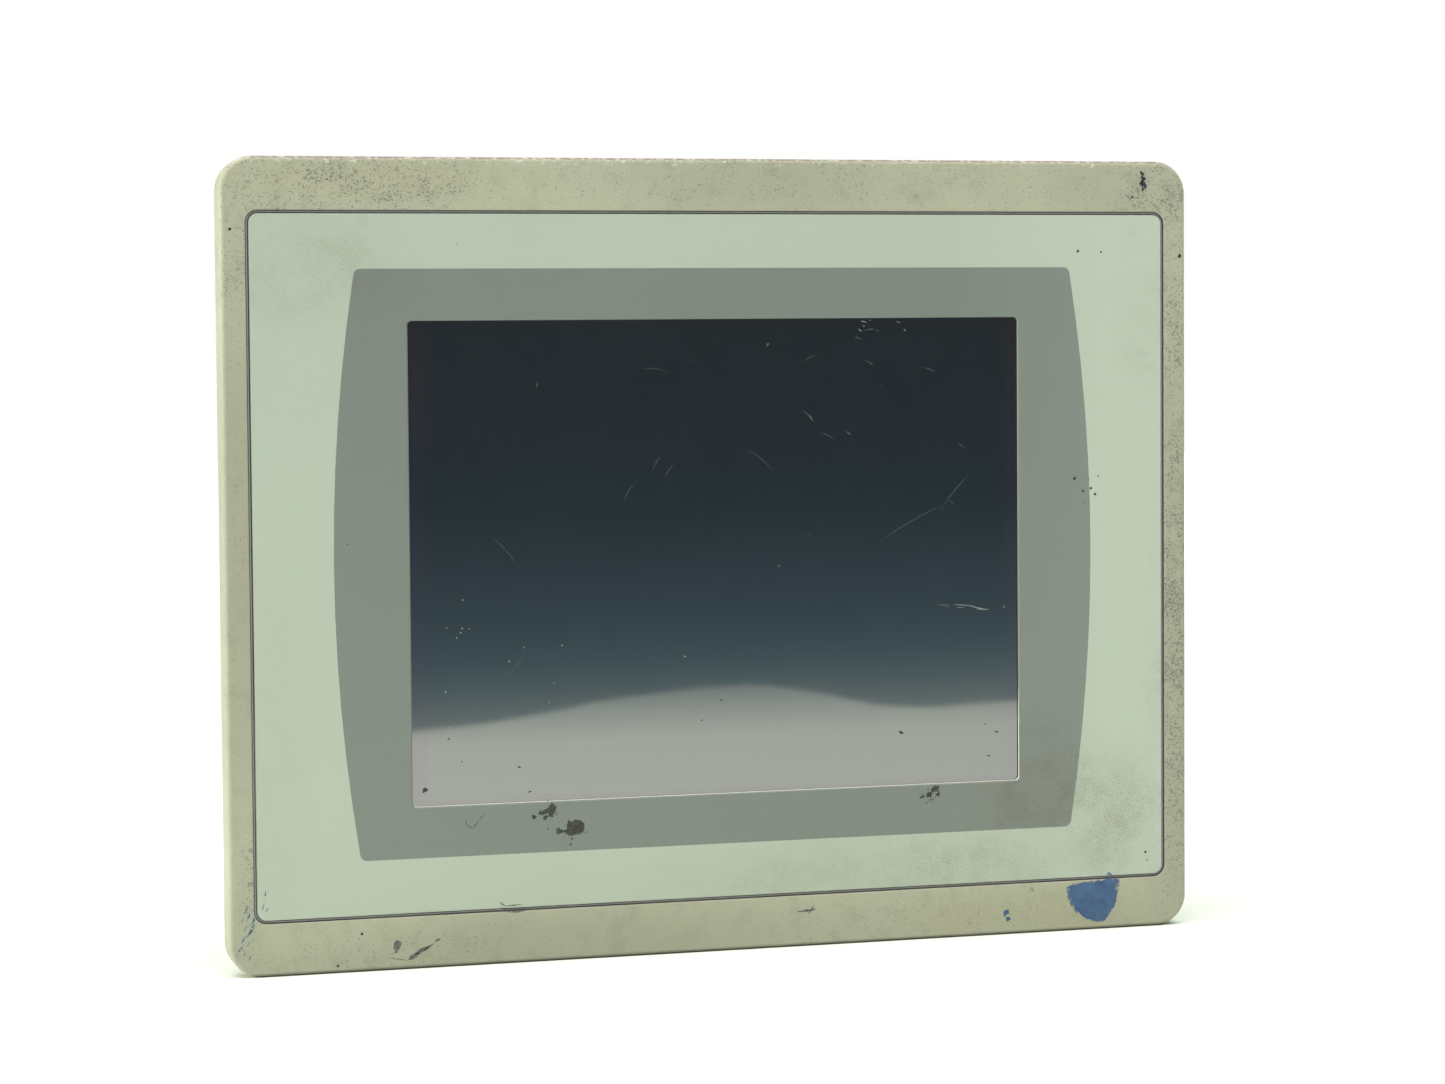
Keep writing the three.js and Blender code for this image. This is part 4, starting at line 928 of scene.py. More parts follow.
def turned(mesh, profile, place, axis="y", steps=28, finish=0, knurl=0.0):
    """A turned shape from (radius, height) pairs that start and end on the axis. Knurl alternates its
    widest radius by that much."""
    def at(radius, along, a):
        u, v = radius * math.cos(a), radius * math.sin(a)
        offset = {"x": (along, u, v), "y": (u, along, v), "z": (u, v, along)}[axis]
        return (Vector(place) + Vector(offset)) * MM
    widest = max(radius for radius, along in profile)
    rows = []
    for radius, along in profile:
        if radius == 0:
            rows.append([mesh.verts.new(at(0, along, 0))])
            continue
        grow = knurl if radius > widest - 0.15 else 0.0
        rows.append([mesh.verts.new(at(radius + (grow if i % 2 else -grow), along, 2 * math.pi * i / steps))
                     for i in range(steps)])
    made = []
    for one, two in zip(rows, rows[1:]):
        for i in range(steps):
            j = (i + 1) % steps
            if len(one) == 1:
                corners = (one[0], two[j], two[i])
            elif len(two) == 1:
                corners = (one[i], one[j], two[0])
            else:
                corners = (one[i], one[j], two[j], two[i])
            made.append(mesh.faces.new(corners))
    for face in made:
        face.material_index = finish
    bmesh.ops.recalc_face_normals(mesh, faces=made)


def carve(mesh, *cutters, edge=0.0, operation="DIFFERENCE"):
    """The mesh with the cutters taken out of it, and the edges that are left broken by edge mm."""
    def stand_in(shape):
        data = bpy.data.meshes.new("stand_in")
        shape.to_mesh(data)
        shape.free()
        thing = bpy.data.objects.new("stand_in", data)
        scene.collection.objects.link(thing)
        return thing
    things = [stand_in(shape) for shape in (mesh, *cutters)]
    for tool in things[1:]:
        cut = things[0].modifiers.new("cut", "BOOLEAN")
        cut.object, cut.operation, cut.solver, cut.use_self = tool, operation, "EXACT", True
    if edge:
        broken = things[0].modifiers.new("edge", "BEVEL")
        broken.width, broken.segments, broken.limit_method = edge * MM, 2, "ANGLE"
        broken.angle_limit = math.radians(40)
    result = bmesh.new()
    result.from_mesh(things[0].evaluated_get(bpy.context.evaluated_depsgraph_get()).to_mesh())
    for thing in things:
        data = thing.data
        bpy.data.objects.remove(thing)
        bpy.data.meshes.remove(data)
    return result


def rounded_back(width, height, corner, radius, front, back, up=0.0, steps=5):
    """Loops of a box's outer skin from its front rim to its flat back, with that edge rounded."""
    loops = [ring(width, height, corner, front, up=up)]
    for i in range(steps + 1):
        a = math.radians(90 * i / steps)
        shrink = 2 * radius * (1 - math.cos(a))
        loops.append(ring(width - shrink, height - shrink, max(corner - shrink / 2, 0.3),
                          back - radius + radius * math.sin(a), up=up))
    return loops


# Moulded ABS: warm light grey with a spark-eroded grain of about 0.2 mm, drawn at 0.5 mm, a little yellowed.
moulded_abs = worked_surface("moulded_abs_spark_eroded", "bdbbad", "b0ae9f", 0.5, (0.5, 0.66), relief=0.05,
                             ior=1.53)
housing_low, housing_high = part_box("rear_housing")
housing_width, housing_height = ((housing_high[i] - housing_low[i]) / MM for i in (0, 2))
housing_front, housing_back, wall = housing_low.y / MM, housing_high.y / MM, 2.5
shell = bmesh.new()
inside = housing_back - wall
bridge(shell, [ring(housing_width - 2 * wall, housing_height - 2 * wall, 3, inside),
               ring(housing_width - 2 * wall, housing_height - 2 * wall, 3, housing_front)]
       + rounded_back(housing_width, housing_height, 5, 2.0, housing_front, housing_back), closed=False)
bmesh.ops.recalc_face_normals(shell, faces=shell.faces)
lever_x, lever_y, slot_half, slot_depth = 75.0, 12.0, 3.4, 16.0
slots = bmesh.new()
wall_x, wall_z = housing_width / 2, housing_height / 2
slot_low, slot_high = lever_y - slot_half, lever_y - slot_half + slot_depth
for sx in (-1, 1):
    for sz in (-1, 1):
        prism(slots, plate(sx * lever_x - slot_half, sx * lever_x + slot_half, slot_low, slot_high, 3.3),
              "z", sz * wall_z - 5.5, sz * wall_z + 5.5)
    prism(slots, plate(slot_low, slot_high, -slot_half, slot_half, 3.3), "x", sx * wall_x - 5.5,
          sx * wall_x + 5.5)
# Shallow channels round the edge of the back.
channels = bmesh.new()
channel = 0.7
for sx in (-1, 1):
    for z0, z1 in ((-33.5, -1.5), (1.5, 33.5)):
        block(channels, sorted((sx * 97.0, sx * 105.5)), (housing_back - channel, housing_back + 2),
              (z0, z1))
for x0, x1 in ((-84, -52), (-44, 44), (52, 84)):
    for z0, z1 in ((-79.5, -69.5), (73.5, 79.5)):
        block(channels, (x0, x1), (housing_back - channel, housing_back + 2), (z0, z1))
shell = carve(shell, slots, channels, edge=0.3)
for sx in (-1, 1):
    for sz in (-1, 1):
        turned(shell, [(0, inside + 0.5), (4, inside + 0.5), (4, 10.8), (1.9, 10.8), (1.9, inside),
                       (0, inside)],
               (sx * boss_x, 0, sz * boss_z), steps=20)
piece("housing_moulding", shell, [moulded_abs], replaces=["rear_housing"],
      smooth=30)


def driver_slot(mesh, x, z, degrees, half_length, half_width, y0, y1):
    """A slot for a screwdriver across a screw's head at (x, z), in mm and degrees."""
    a = math.radians(degrees)
    along = Vector((math.cos(a), math.sin(a))) * half_length
    side = Vector((-math.sin(a), math.cos(a))) * half_width
    corners = (along + side, -along + side, -along - side, along - side)
    prism(mesh, [(x + c.x, z + c.y) for c in corners], "y", y0, y1)


# Its four screws, zinc plated, pan headed, with a cross recess and a pressed washer.
four_corners = ((-1, 1), (1, 1), (-1, -1), (1, -1))
zinc_plate = worked_surface("bright_zinc_plated_steel", "d2d4cf", "a9aca8", 1.2, (0.22, 0.42), metallic=1.0)
for i, (sx, sz) in enumerate(four_corners):
    head = bmesh.new()
    turned(head, [(0, -3.6), (1.5, -3.6), (1.5, 27.0), (4.3, 27.02), (4.3, 27.45), (3.9, 27.6), (3.3, 27.6),
                  (3.25, 28.5), (2.9, 29.15), (2.2, 29.5), (1.2, 29.65), (0, 29.7)],
           (sx * boss_x, 0, sz * boss_z), steps=32)
    recess = bmesh.new()
    for quarter in (0, 90):
        driver_slot(recess, sx * boss_x, sz * boss_z, 17 + 31 * i + quarter, 1.75, 0.42, 28.1, 31)
    piece(f"housing_pan_screw_{i + 1}", carve(head, recess, edge=0.06), [zinc_plate],
          replaces=[f"housing_screw_{i + 1}"])

# ---------------------------------------------------------------------------------------------------
# Mounting levers. Six cams moulded in black glass-filled nylon. Each turns on a headed pin in a wall slot,
# presses its flat foot on the back of the panel, and is ribbed to save plastic.
# Glass-filled nylon: black, slightly grey where the fibres show, with a faint flow grain along the arm.
filled_nylon = worked_surface("glass_filled_nylon_moulded", "2b2c2d", "191a1b", 0.6, (0.38, 0.55),
                              relief=0.04, ior=1.53)
hub, arm, tip, foot, thick = 5.6, 22.0, 3.8, 7.0, 5.5


def lever_shape():
    """A lever round its own pin: pin along Z, foot towards -Y and arm along -X, in mm."""
    body = bmesh.new()
    outline = ([(-3.5, -foot), (3.5, -foot)] + arc(0, 0, hub, -20, 90, 10) + arc(-arm, 0, tip, 90, 270, 10)
               + [(-5, -tip)])
    prism(body, outline, "z", 0.3, 0.3 + thick, edge=0.5)
    pockets = bmesh.new()
    for i in range(4):
        middle = -19.5 + i * 3.6
        reach = 2.3 + 0.14 * i
        prism(pockets, plate(middle - 1.35, middle + 1.35, -reach, reach, 0.5), "z", 4.1, 8)
    turned(pockets, [(3.2, 9), (3.2, 5.0), (4.2, 5.0), (4.2, 9), (3.2, 9)], (0, 0, 0), axis="z", steps=28)
    prism(pockets, plate(-2.6, 2.6, -0.7, 0.7), "z", 4.6, 8)
    for i in range(5):
        prism(pockets, plate(-3.1 + 1.3 * i, -2.6 + 1.3 * i, -foot - 1, -foot + 0.35), "z", -1, 8)
    body = carve(body, pockets, edge=0.15)
    turned(body, [(0, -5.1), (4.7, -5.1), (5, -4.8), (5, -3.1), (3, -3.0), (3, 0.6), (0, 0.6)], (0, 0, 0),
           axis="z")
    return body


for place, x, z, aim, mirrored in (("top_left", -lever_x, wall_z, 0, True),
                                   ("top_right", lever_x, wall_z, 0, False),
                                   ("bottom_left", -lever_x, -wall_z, 180, False),
                                   ("bottom_right", lever_x, -wall_z, 180, True),
                                   ("left", -wall_x, 0, -90, False), ("right", wall_x, 0, 90, True)):
    lever = lever_shape()
    bmesh.ops.scale(lever, vec=(-1 if mirrored else 1, 1, 1), verts=lever.verts)
    bmesh.ops.rotate(lever, matrix=Matrix.Rotation(math.radians(aim), 3, "Y"), verts=lever.verts)
    bmesh.ops.translate(lever, vec=Vector((x, lever_y, z)) * MM, verts=lever.verts)
    piece(f"cam_lever_{place}", lever, [filled_nylon], body=f"lever_{place}",
          replaces=[f"mounting_lever_{place}"])

# ---------------------------------------------------------------------------------------------------
# Logic module case. A box folded from galvanised sheet 1.2 mm thick, punched for cooling and for the
# ports, open at the front where its plate closes it, with a rating plate that is left blank.
case_low, case_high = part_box("logic_module_case")
case_width, case_height = ((case_high[i] - case_low[i]) / MM for i in (0, 2))
case_middle = (case_high.z + case_low.z) / 2 / MM
case_front, case_back, sheet = case_low.y / MM, case_high.y / MM, 1.2
sill, top, flank = case_low.z / MM, case_high.z / MM, case_high.x / MM

# Galvanised sheet: pale grey zinc whose crystals, the spangle, are 2 to 6 mm across and differ in brightness
# and gloss. Fine scratches lie along the sheet.
galvanised, tree = new_material("galvanised_sheet_spangled")
mm = millimetres(tree)
wobble = node(tree, "TexNoise", {"Vector": mm, "Scale": 1 / 5, "Detail": 3.0})
shift = node(tree, "VectorMath", {0: wobble.outputs["Color"], 1: (2.4, 2.4, 2.4)}, operation="MULTIPLY")
moved = node(tree, "VectorMath", {0: mm, 1: shift.outputs["Vector"]}, operation="ADD")
crystals = node(tree, "TexVoronoi", {"Vector": moved.outputs["Vector"], "Scale": 1 / 3.6})
crystal = node(tree, "SeparateColor", {"Color": crystals.outputs["Color"]})
lines = node(tree, "VectorMath", {0: mm, 1: (0.03, 1.0, 1.0)}, operation="MULTIPLY")
scuffs = node(tree, "TexNoise", {"Vector": lines.outputs["Vector"], "Scale": 2.2, "Detail": 2.0})
zinc = blend_colours(tree, crystal.outputs["Red"], linear("aaadab"), linear("b9bcb9"))
zinc = blend_colours(tree, scuffs.outputs["Fac"], zinc, linear("c6c8c4"), 0.35)
stain = node(tree, "TexNoise", {"Vector": mm, "Scale": 1 / 35, "Detail": 4.0})
stained = node(tree, "MapRange", {"Value": stain.outputs["Fac"], "From Min": 0.52, "From Max": 0.75})
zinc = blend_colours(tree, stained.outputs["Result"], zinc, linear("90928c"), 0.5)
gloss = node(tree, "MapRange", {"Value": crystal.outputs["Green"], "To Min": 0.34, "To Max": 0.52})
bump = node(tree, "Bump", {"Height": scuffs.outputs["Fac"], "Strength": 0.15, "Distance": 0.00004})
shade = node(tree, "BsdfPrincipled", {"Base Color": zinc, "Roughness": gloss.outputs["Result"],
                                      "Metallic": 0.85, "Normal": bump.outputs["Normal"]})
node(tree, "OutputMaterial", {"Surface": shade.outputs["BSDF"]})

case_mesh = bmesh.new()
inner_width, inner_height = case_width - 2 * sheet, case_height - 2 * sheet
bridge(case_mesh, [ring(inner_width, inner_height, 1.0, case_back - sheet, up=case_middle),
                   ring(inner_width, inner_height, 1.0, case_front, up=case_middle)]
       + rounded_back(case_width, case_height, 2.0, 1.8, case_front, case_back, up=case_middle),
       closed=False)
bmesh.ops.recalc_face_normals(case_mesh, faces=case_mesh.faces)
port_y, plug_x, serial_x, jack_reach, network_x = 43.5, -74.0, -40.0, 12.5, -8.0
peripheral_x, reset_x, power_x, fault_x = (16.0, 36.0), 56, 66, 74
punch = bmesh.new()
for i in range(12):
    x = (i - 5.5) * 7
    prism(punch, plate(x - 1.3, x + 1.3, 35, 50, 1.29), "z", top - 3, top + 3)
    prism(punch, plate(x - 1.3, x + 1.3, 10, 50, 1.29), "y", case_back - 3, case_back + 3)
floor_punch = (sill - 3, sill + 3)
for x, width, height in ((plug_x, 19, 11.4), (network_x, 17, 14.6),
                         *((x, 15.4, 8.2) for x in peripheral_x)):
    prism(punch, plate(x - width / 2, x + width / 2, port_y - height / 2, port_y + height / 2, 0.6), "z",
          *floor_punch)
prism(punch, [(serial_x + x, port_y + y) for x, y in ((-9.0, 4.8), (-7.6, -4.8), (7.6, -4.8), (9.0, 4.8))],
      "z", *floor_punch)
for x, radius in ((serial_x - jack_reach, 1.9), (serial_x + jack_reach, 1.9), (reset_x, 2.6),
                  (power_x, 1.9), (fault_x, 1.9)):
    prism(punch, arc(x, port_y, radius, 0, 345, 23), "z", *floor_punch)
prism(punch, plate(39.05, 44.25, -6.0, 38.8, 0.8), "x", flank - 3, flank + 3)
prism(punch, plate(39.4, 43.6, 42.4, 47.6, 0.8), "x", flank - 3, flank + 3)
seams = bmesh.new()
for sx in (-1, 1):
    for z0, z1 in ((sill - 1, sill + 0.5), (top - 0.5, top + 1)):
        block(seams, (sx * (flank - 1.95) - 0.14, sx * (flank - 1.95) + 0.14),
              (case_front - 1, case_back - 1.2), (z0, z1))
piece("folded_case", carve(case_mesh, punch, seams, edge=0.12), [galvanised],
      replaces=["logic_module_case"], smooth=30)

# Cover screws, countersunk with a cross recess.
cover_x, cover_high, cover_low = 86.5, 63.5, -59.5
for i, (x, z) in enumerate(((-cover_x, cover_high), (cover_x, cover_high), (-cover_x, cover_low),
                            (cover_x, cover_low))):
    head = bmesh.new()
    turned(head, [(0, case_back - 1.0), (2.9, case_back - 0.2), (2.9, case_back + 0.15),
                  (2.7, case_back + 0.3), (0, case_back + 0.38)], (x, 0, z), steps=28)
    recess = bmesh.new()
    for wide, high in ((1.5, 0.36), (0.36, 1.5)):
        prism(recess, plate(x - wide, x + wide, z - high, z + high), "y", case_back - 0.5, case_back + 2)
    piece(f"cover_screw_{i + 1}", carve(head, recess, edge=0.05), [zinc_plate])

# Rating plate: silver polyester with thin black rules that make empty boxes. Nothing is written on it.
silver_polyester = worked_surface("silver_polyester_label", "c9cbc8", "bcbfbd", 0.8, (0.35, 0.45),
                                  metallic=0.35)
black_ink = worked_surface("black_screen_ink", "232427", "17181a", 0.8, (0.5, 0.6))
label_mesh = bmesh.new()
box = (-58.0, 58.0, -50.0, -4.0)
prism(label_mesh, plate(*box, 2.5), "y", case_back + 0.01, case_back + 0.14)
rules = [(box[0] + 3, box[1] - 3, z, z + 0.5) for z in (-47, -37, -27, -17, -7.5)]
rules += [(x, x + 0.5, -47, -7) for x in (box[0] + 3, -20, 20, box[1] - 3.5)]
for x0, x1, z0, z1 in rules:
    prism(label_mesh, plate(x0, x1, z0, z1), "y", case_back + 0.13, case_back + 0.17, finish=1)
piece("blank_rating_plate", label_mesh, [silver_polyester, black_ink])

# Captive screws through the module plate's ears: knurled heads with a driver slot.
ear_x, ear_z = 98, 45
for i, (sx, sz) in enumerate(four_corners):
    knob = bmesh.new()
    place = (sx * ear_x, 0, sz * ear_z)
    turned(knob, [(0, 22.6), (1.6, 22.6), (1.9, 22.9), (1.9, 28.6), (3.4, 28.6), (3.7, 28.9), (3.7, 29.6),
                  (4.15, 30.0), (4.2, 30.1), (4.2, 33.3), (4.15, 33.4), (3.6, 34.2), (0, 34.2)], place,
           steps=56, knurl=0.14)
    groove = bmesh.new()
    driver_slot(groove, place[0], place[2], 24 + 47 * i, 5, 0.55, 33.0, 36)
    piece(f"captive_screw_{i + 1}", carve(knob, groove), [zinc_plate], replaces=[f"module_screw_{i + 1}"],
          smooth=25)

# ---------------------------------------------------------------------------------------------------
# Memory card and its eject button, in the case's side wall. The card is a black plastic frame with steel
# covers and a grip ridge at its outer edge; the button is ribbed for a fingertip.
card_shell = worked_surface("card_frame_glossy_abs", "2d2e31", "202124", 0.8, (0.28, 0.4), relief=0.02,
                            ior=1.53)
card_steel = worked_surface("stamped_stainless_cover", "b9bbbd", "9a9da0", 1.5, (0.25, 0.4), metallic=1.0,
                            stretch=(0.2, 1, 1))
moulded_black = worked_surface("moulded_black_pbt", "26272a", "18191b", 0.7, (0.42, 0.58), relief=0.04)


def limits(name):
    """A node's low and high limits in x, y and z, in mm."""
    low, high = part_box(name)
    return [(low[i] / MM, high[i] / MM) for i in range(3)]


x, y, z = limits("memory_card")
card = bmesh.new()
block(card, x, (y[0] + 0.35, y[1] - 0.35), z, edge=0.4)
for side in (y[0], y[1] - 0.4):
    block(card, (x[0] + 1, x[1] - 4.2), (side, side + 0.4), (z[0] + 1.4, z[1] - 1.4), edge=0.12, finish=1)
for i in range(3):
    block(card, (x[1] - 3.4 + i, x[1] - 2.9 + i), (y[0], y[1]), (z[0] + 3, z[1] - 3), edge=0.15)
piece("storage_card", card, [card_shell, card_steel], body="card", replaces=["memory_card"])

x, y, z = limits("card_eject_button")
button = bmesh.new()
block(button, (x[0], x[1] - 1.2), (y[0] + 0.25, y[1] - 0.25), (z[0] + 0.25, z[1] - 0.25), edge=0.2)
block(button, (x[1] - 3.2, x[1]), y, z, edge=0.45)
ribs = bmesh.new()
for i in range(3):
    block(ribs, (x[1] - 0.35, x[1] + 1), (y[0] - 1, y[1] + 1),
          (z[0] + 0.75 + i * 1.0, z[0] + 1.15 + i * 1.0))
piece("eject_button", carve(button, ribs, edge=0.06), [moulded_black], body="eject",
      replaces=["card_eject_button"])

# ---------------------------------------------------------------------------------------------------
# Power plug and header. A three-way screw plug moulded in green polyamide: a square wire hole in its end
# for each way, and above it a well that holds a slotted clamp screw.
green_polyamide = worked_surface("moulded_green_polyamide", "2f8650", "236f3f", 0.8, (0.4, 0.55),
                                 relief=0.03, ior=1.53)
way = 5.08
plug = bmesh.new()
block(plug, (plug_x - 8.8, plug_x + 8.8), (port_y - 5.6, port_y + 6.4), (sill - 14, sill - 1), edge=0.5)
wells = bmesh.new()
for i in (-1, 0, 1):
    x = plug_x + i * way
    block(wells, (x - 1.9, x + 1.9), (port_y - 3.6, port_y + 0.2), (sill - 15, sill - 9), edge=0.3)
    turned(wells, [(0, port_y + 3.6), (2.0, port_y + 3.6), (2.0, port_y + 6.0), (2.35, port_y + 7),
                   (0, port_y + 7)],
           (x, 0, sill - 7), steps=24)
for i in range(5):
    for side in (-1, 1):
        z = sill - 12.2 + i * 1.5
        block(wells, sorted((plug_x + side * 8.4, plug_x + side * 10)), (port_y - 3.6, port_y + 4.4),
              (z, z + 0.6))
plug = carve(plug, wells, edge=0.12)
block(plug, (plug_x - 7.9, plug_x + 7.9), (port_y - 4.1, port_y + 4.1), (sill - 1.4, sill + 8.5), edge=0.3)
piece("screw_plug", plug, [green_polyamide], body="plug", replaces=["power_plug"])
for i in (-1, 0, 1):
    x = plug_x + i * way
    head = bmesh.new()
    turned(head, [(0, port_y + 3.9), (1.6, port_y + 3.9), (1.6, port_y + 5.6), (1.35, port_y + 5.95),
                  (0, port_y + 6.0)],
           (x, 0, sill - 7), steps=24)
    groove = bmesh.new()
    driver_slot(groove, x, sill - 7, 35 + 50 * i, 2, 0.22, port_y + 5.3, port_y + 7)
    piece(f"clamp_screw_{i + 2}", carve(head, groove, edge=0.04), [zinc_plate], body="plug",
          replaces=[f"plug_screw_{i + 2}"])

tinned_pin = worked_surface("tinned_copper_pin", "cfcfca", "b4b4ae", 0.8, (0.3, 0.45), metallic=1.0)
gold_contact = worked_surface("gold_flashed_contact", "d9b866", "b8923f", 0.6, (0.22, 0.36), metallic=1.0)
board_edge = 34.6


def socket(outline, depth, hole, hole_depth, edge=0.25):
    """A socket's body in the case's floor, standing on the board: outline is (x0, x1, y0, y1), and hole is
    the outline of its mouth."""
    body = bmesh.new()
    x0, x1, y0, y1 = outline
    prism(body, plate(*outline), "z", sill - 0.6, sill + depth, edge=edge)
    mouth = bmesh.new()
    prism(mouth, hole, "z", sill - 2, sill + hole_depth)
    body = carve(body, mouth, edge=0.08)
    block(body, (x0 + 1, x1 - 1), (board_edge, y0 + 0.8), (sill + 2, sill + depth - 0.4), edge=0.15)
    return body


header = socket((plug_x - 9, plug_x + 9, port_y - 5.2, port_y + 5.2), 12,
                plate(plug_x - 8.2, plug_x + 8.2, port_y - 4.4, port_y + 4.4), 9)
for i in (-1, 0, 1):
    prism(header, plate(plug_x + i * way - 0.5, plug_x + i * way + 0.5, port_y - 0.5, port_y + 0.5), "z",
          sill + 8.7, sill + 9.0, edge=0.05, finish=1)
piece("plug_header", header, [green_polyamide, tinned_pin], replaces=["power_header"])

# ---------------------------------------------------------------------------------------------------
# Sockets for cables: network, two for peripherals and a nine-pin serial port with hexagonal jack screws,
# each with a folded, nickel-plated shell, a black insulator and its contacts.
nickel_shell = worked_surface("nickel_plated_steel_shell", "c6c7c3", "a5a6a3", 1.0, (0.2, 0.36),
                              metallic=1.0)
x0 = network_x
jack_mouth = [(x0 + x, port_y + y) for x, y in ((-5.9, -4.2), (-3.2, -4.2), (-3.2, -4.9), (3.2, -4.9),
                                                (3.2, -4.2), (5.9, -4.2), (5.9, 4.2), (-5.9, 4.2))]
jack = socket((x0 - 8, x0 + 8, port_y - 6.8, port_y + 6.8), 17, jack_mouth, 13)
block(jack, (x0 - 5.8, x0 + 5.8), (port_y + 3.3, port_y + 4.15), (sill + 1.5, sill + 12.8), edge=0.1,
      finish=1)
block(jack, (x0 - 5.8, x0 + 5.8), (port_y - 4.1, port_y + 4.1), (sill + 12.0, sill + 12.9), finish=1)
for i in range(8):
    x = x0 + (i - 3.5) * 1.02
    prism(jack, [(port_y + 3.35, sill + 2.4), (port_y + 3.0, sill + 2.3), (port_y + 0.6, sill + 9.6),
                 (port_y + 0.9, sill + 9.9)], "x", x - 0.22, x + 0.22, edge=0.05, finish=2)
for side, tone in ((-1, 3), (1, 4)):
    block(jack, sorted((x0 + side * 4.6, x0 + side * 7.2)), (port_y + 4.9, port_y + 6.2),
          (sill - 0.75, sill + 2), edge=0.12, finish=tone)
lens_green = worked_surface("moulded_green_lens", "63c66e", "4fae5c", 0.8, (0.12, 0.2), ior=1.49)
lens_amber = worked_surface("moulded_amber_lens", "dca445", "c98d2e", 0.8, (0.12, 0.2), ior=1.49)
piece("network_socket", jack, [nickel_shell, moulded_black, gold_contact, lens_green, lens_amber],
      replaces=["network_port"])

for number, x0 in enumerate(peripheral_x, 1):
    port = socket((x0 - 7.2, x0 + 7.2, port_y - 3.6, port_y + 3.6), 14,
                  plate(x0 - 6.3, x0 + 6.3, port_y - 2.6, port_y + 2.6, 0.4), 11, edge=0.4)
    block(port, (x0 - 5.6, x0 + 5.6), (port_y + 0.2, port_y + 2.0), (sill + 0.7, sill + 11), edge=0.12,
          finish=1)
    for x in (x0 - 3.5, x0 - 1.0, x0 + 1.0, x0 + 3.5):
        block(port, (x - 0.5, x + 0.5), (port_y + 0.08, port_y + 0.3), (sill + 1.4, sill + 9.5), edge=0.04,
              finish=2)
    for side in (-1, 1):
        block(port, (x0 + side * 3.2 - 0.9, x0 + side * 3.2 + 0.9), (port_y - 2.62, port_y - 2.2),
              (sill + 1, sill + 6), edge=0.1)
    piece(f"peripheral_socket_{number}", port, [nickel_shell, moulded_black, gold_contact],
          replaces=[f"usb_port_{number}"])


def tapered_shell(grow):
    """The five-sided outline of the serial port's shell, round cornered, grown by that many mm."""
    w, h, taper = 8.5 + grow, 4.3 + grow, 1.4
    corners = [(-w, h), (-w + taper, -h), (w - taper, -h), (w, h)]
    outline = []
    for i, here in enumerate(corners):
        before, after = Vector(corners[i - 1]), Vector(corners[(i + 1) % 4])
        here = Vector(here)
        into, out = (before - here).normalized() * 1.5, (after - here).normalized() * 1.5
        for t in (0.0, 0.33, 0.67, 1.0):
            point = here + into * (1 - t) ** 2 + out * t ** 2
            outline.append((serial_x + point.x, port_y + point.y))
    return outline


inner = sill + sheet + 0.3
serial = bmesh.new()
prism(serial, plate(serial_x - 15.5, serial_x + 15.5, port_y - 6.2, port_y + 6.2, 1.0), "z", inner,
      inner + 9, edge=0.3)
block(serial, (serial_x - 14.5, serial_x + 14.5), (board_edge, port_y - 5.6), (inner + 1, inner + 8.6),
      edge=0.2, finish=1)
holes = bmesh.new()
for side in (-1, 1):
    turned(holes, [(0, inner - 2), (1.7, inner - 2), (1.7, inner + 6), (0, inner + 6)],
           (serial_x + side * jack_reach, port_y, 0), axis="z", steps=20)
serial = carve(serial, holes, edge=0.08)
collar_mesh = bmesh.new()
prism(collar_mesh, tapered_shell(0), "z", sill - 6, inner + 0.5, edge=0.25)
bore = bmesh.new()
prism(bore, tapered_shell(-0.6), "z", sill - 7, sill - 0.2)
serial = carve(serial, carve(collar_mesh, bore, edge=0.06), operation="UNION")
prism(serial, tapered_shell(-1.1), "z", sill - 3.4, sill, edge=0.15, finish=1)
for row, count in ((1.42, 5), (-1.42, 4)):
    for i in range(count):
        turned(serial, [(0, sill - 5.4), (0.3, sill - 5.4), (0.5, sill - 5.1), (0.5, sill - 3),
                        (0, sill - 3)],
               (serial_x + (i - (count - 1) / 2) * 2.77, port_y + row, 0), axis="z", steps=12, finish=2)
piece("serial_socket", serial, [nickel_shell, moulded_black, gold_contact], replaces=["serial_port"])
for number, side in ((1, -1), (2, 1)):
    post = bmesh.new()
    place = (serial_x + side * jack_reach, port_y, 0)
    turned(post, [(0, sill - 5.3), (2.2, sill - 5.3), (2.7, sill - 4.9), (2.7, sill - 0.7),
                  (2.3, sill - 0.3),
                  (1.4, sill - 0.3), (1.4, sill + 5), (0, sill + 5)], place, axis="z", steps=6)
    thread = bmesh.new()
    turned(thread, [(0, sill - 1.5), (1.2, sill - 1.6), (1.2, sill - 5.0), (1.5, sill - 6), (0, sill - 6)],
           place, axis="z", steps=20)
    piece(f"jack_screw_{number}", carve(post, thread, edge=0.08), [zinc_plate],
          replaces=[f"serial_jack_screw_{number}"], smooth=25)

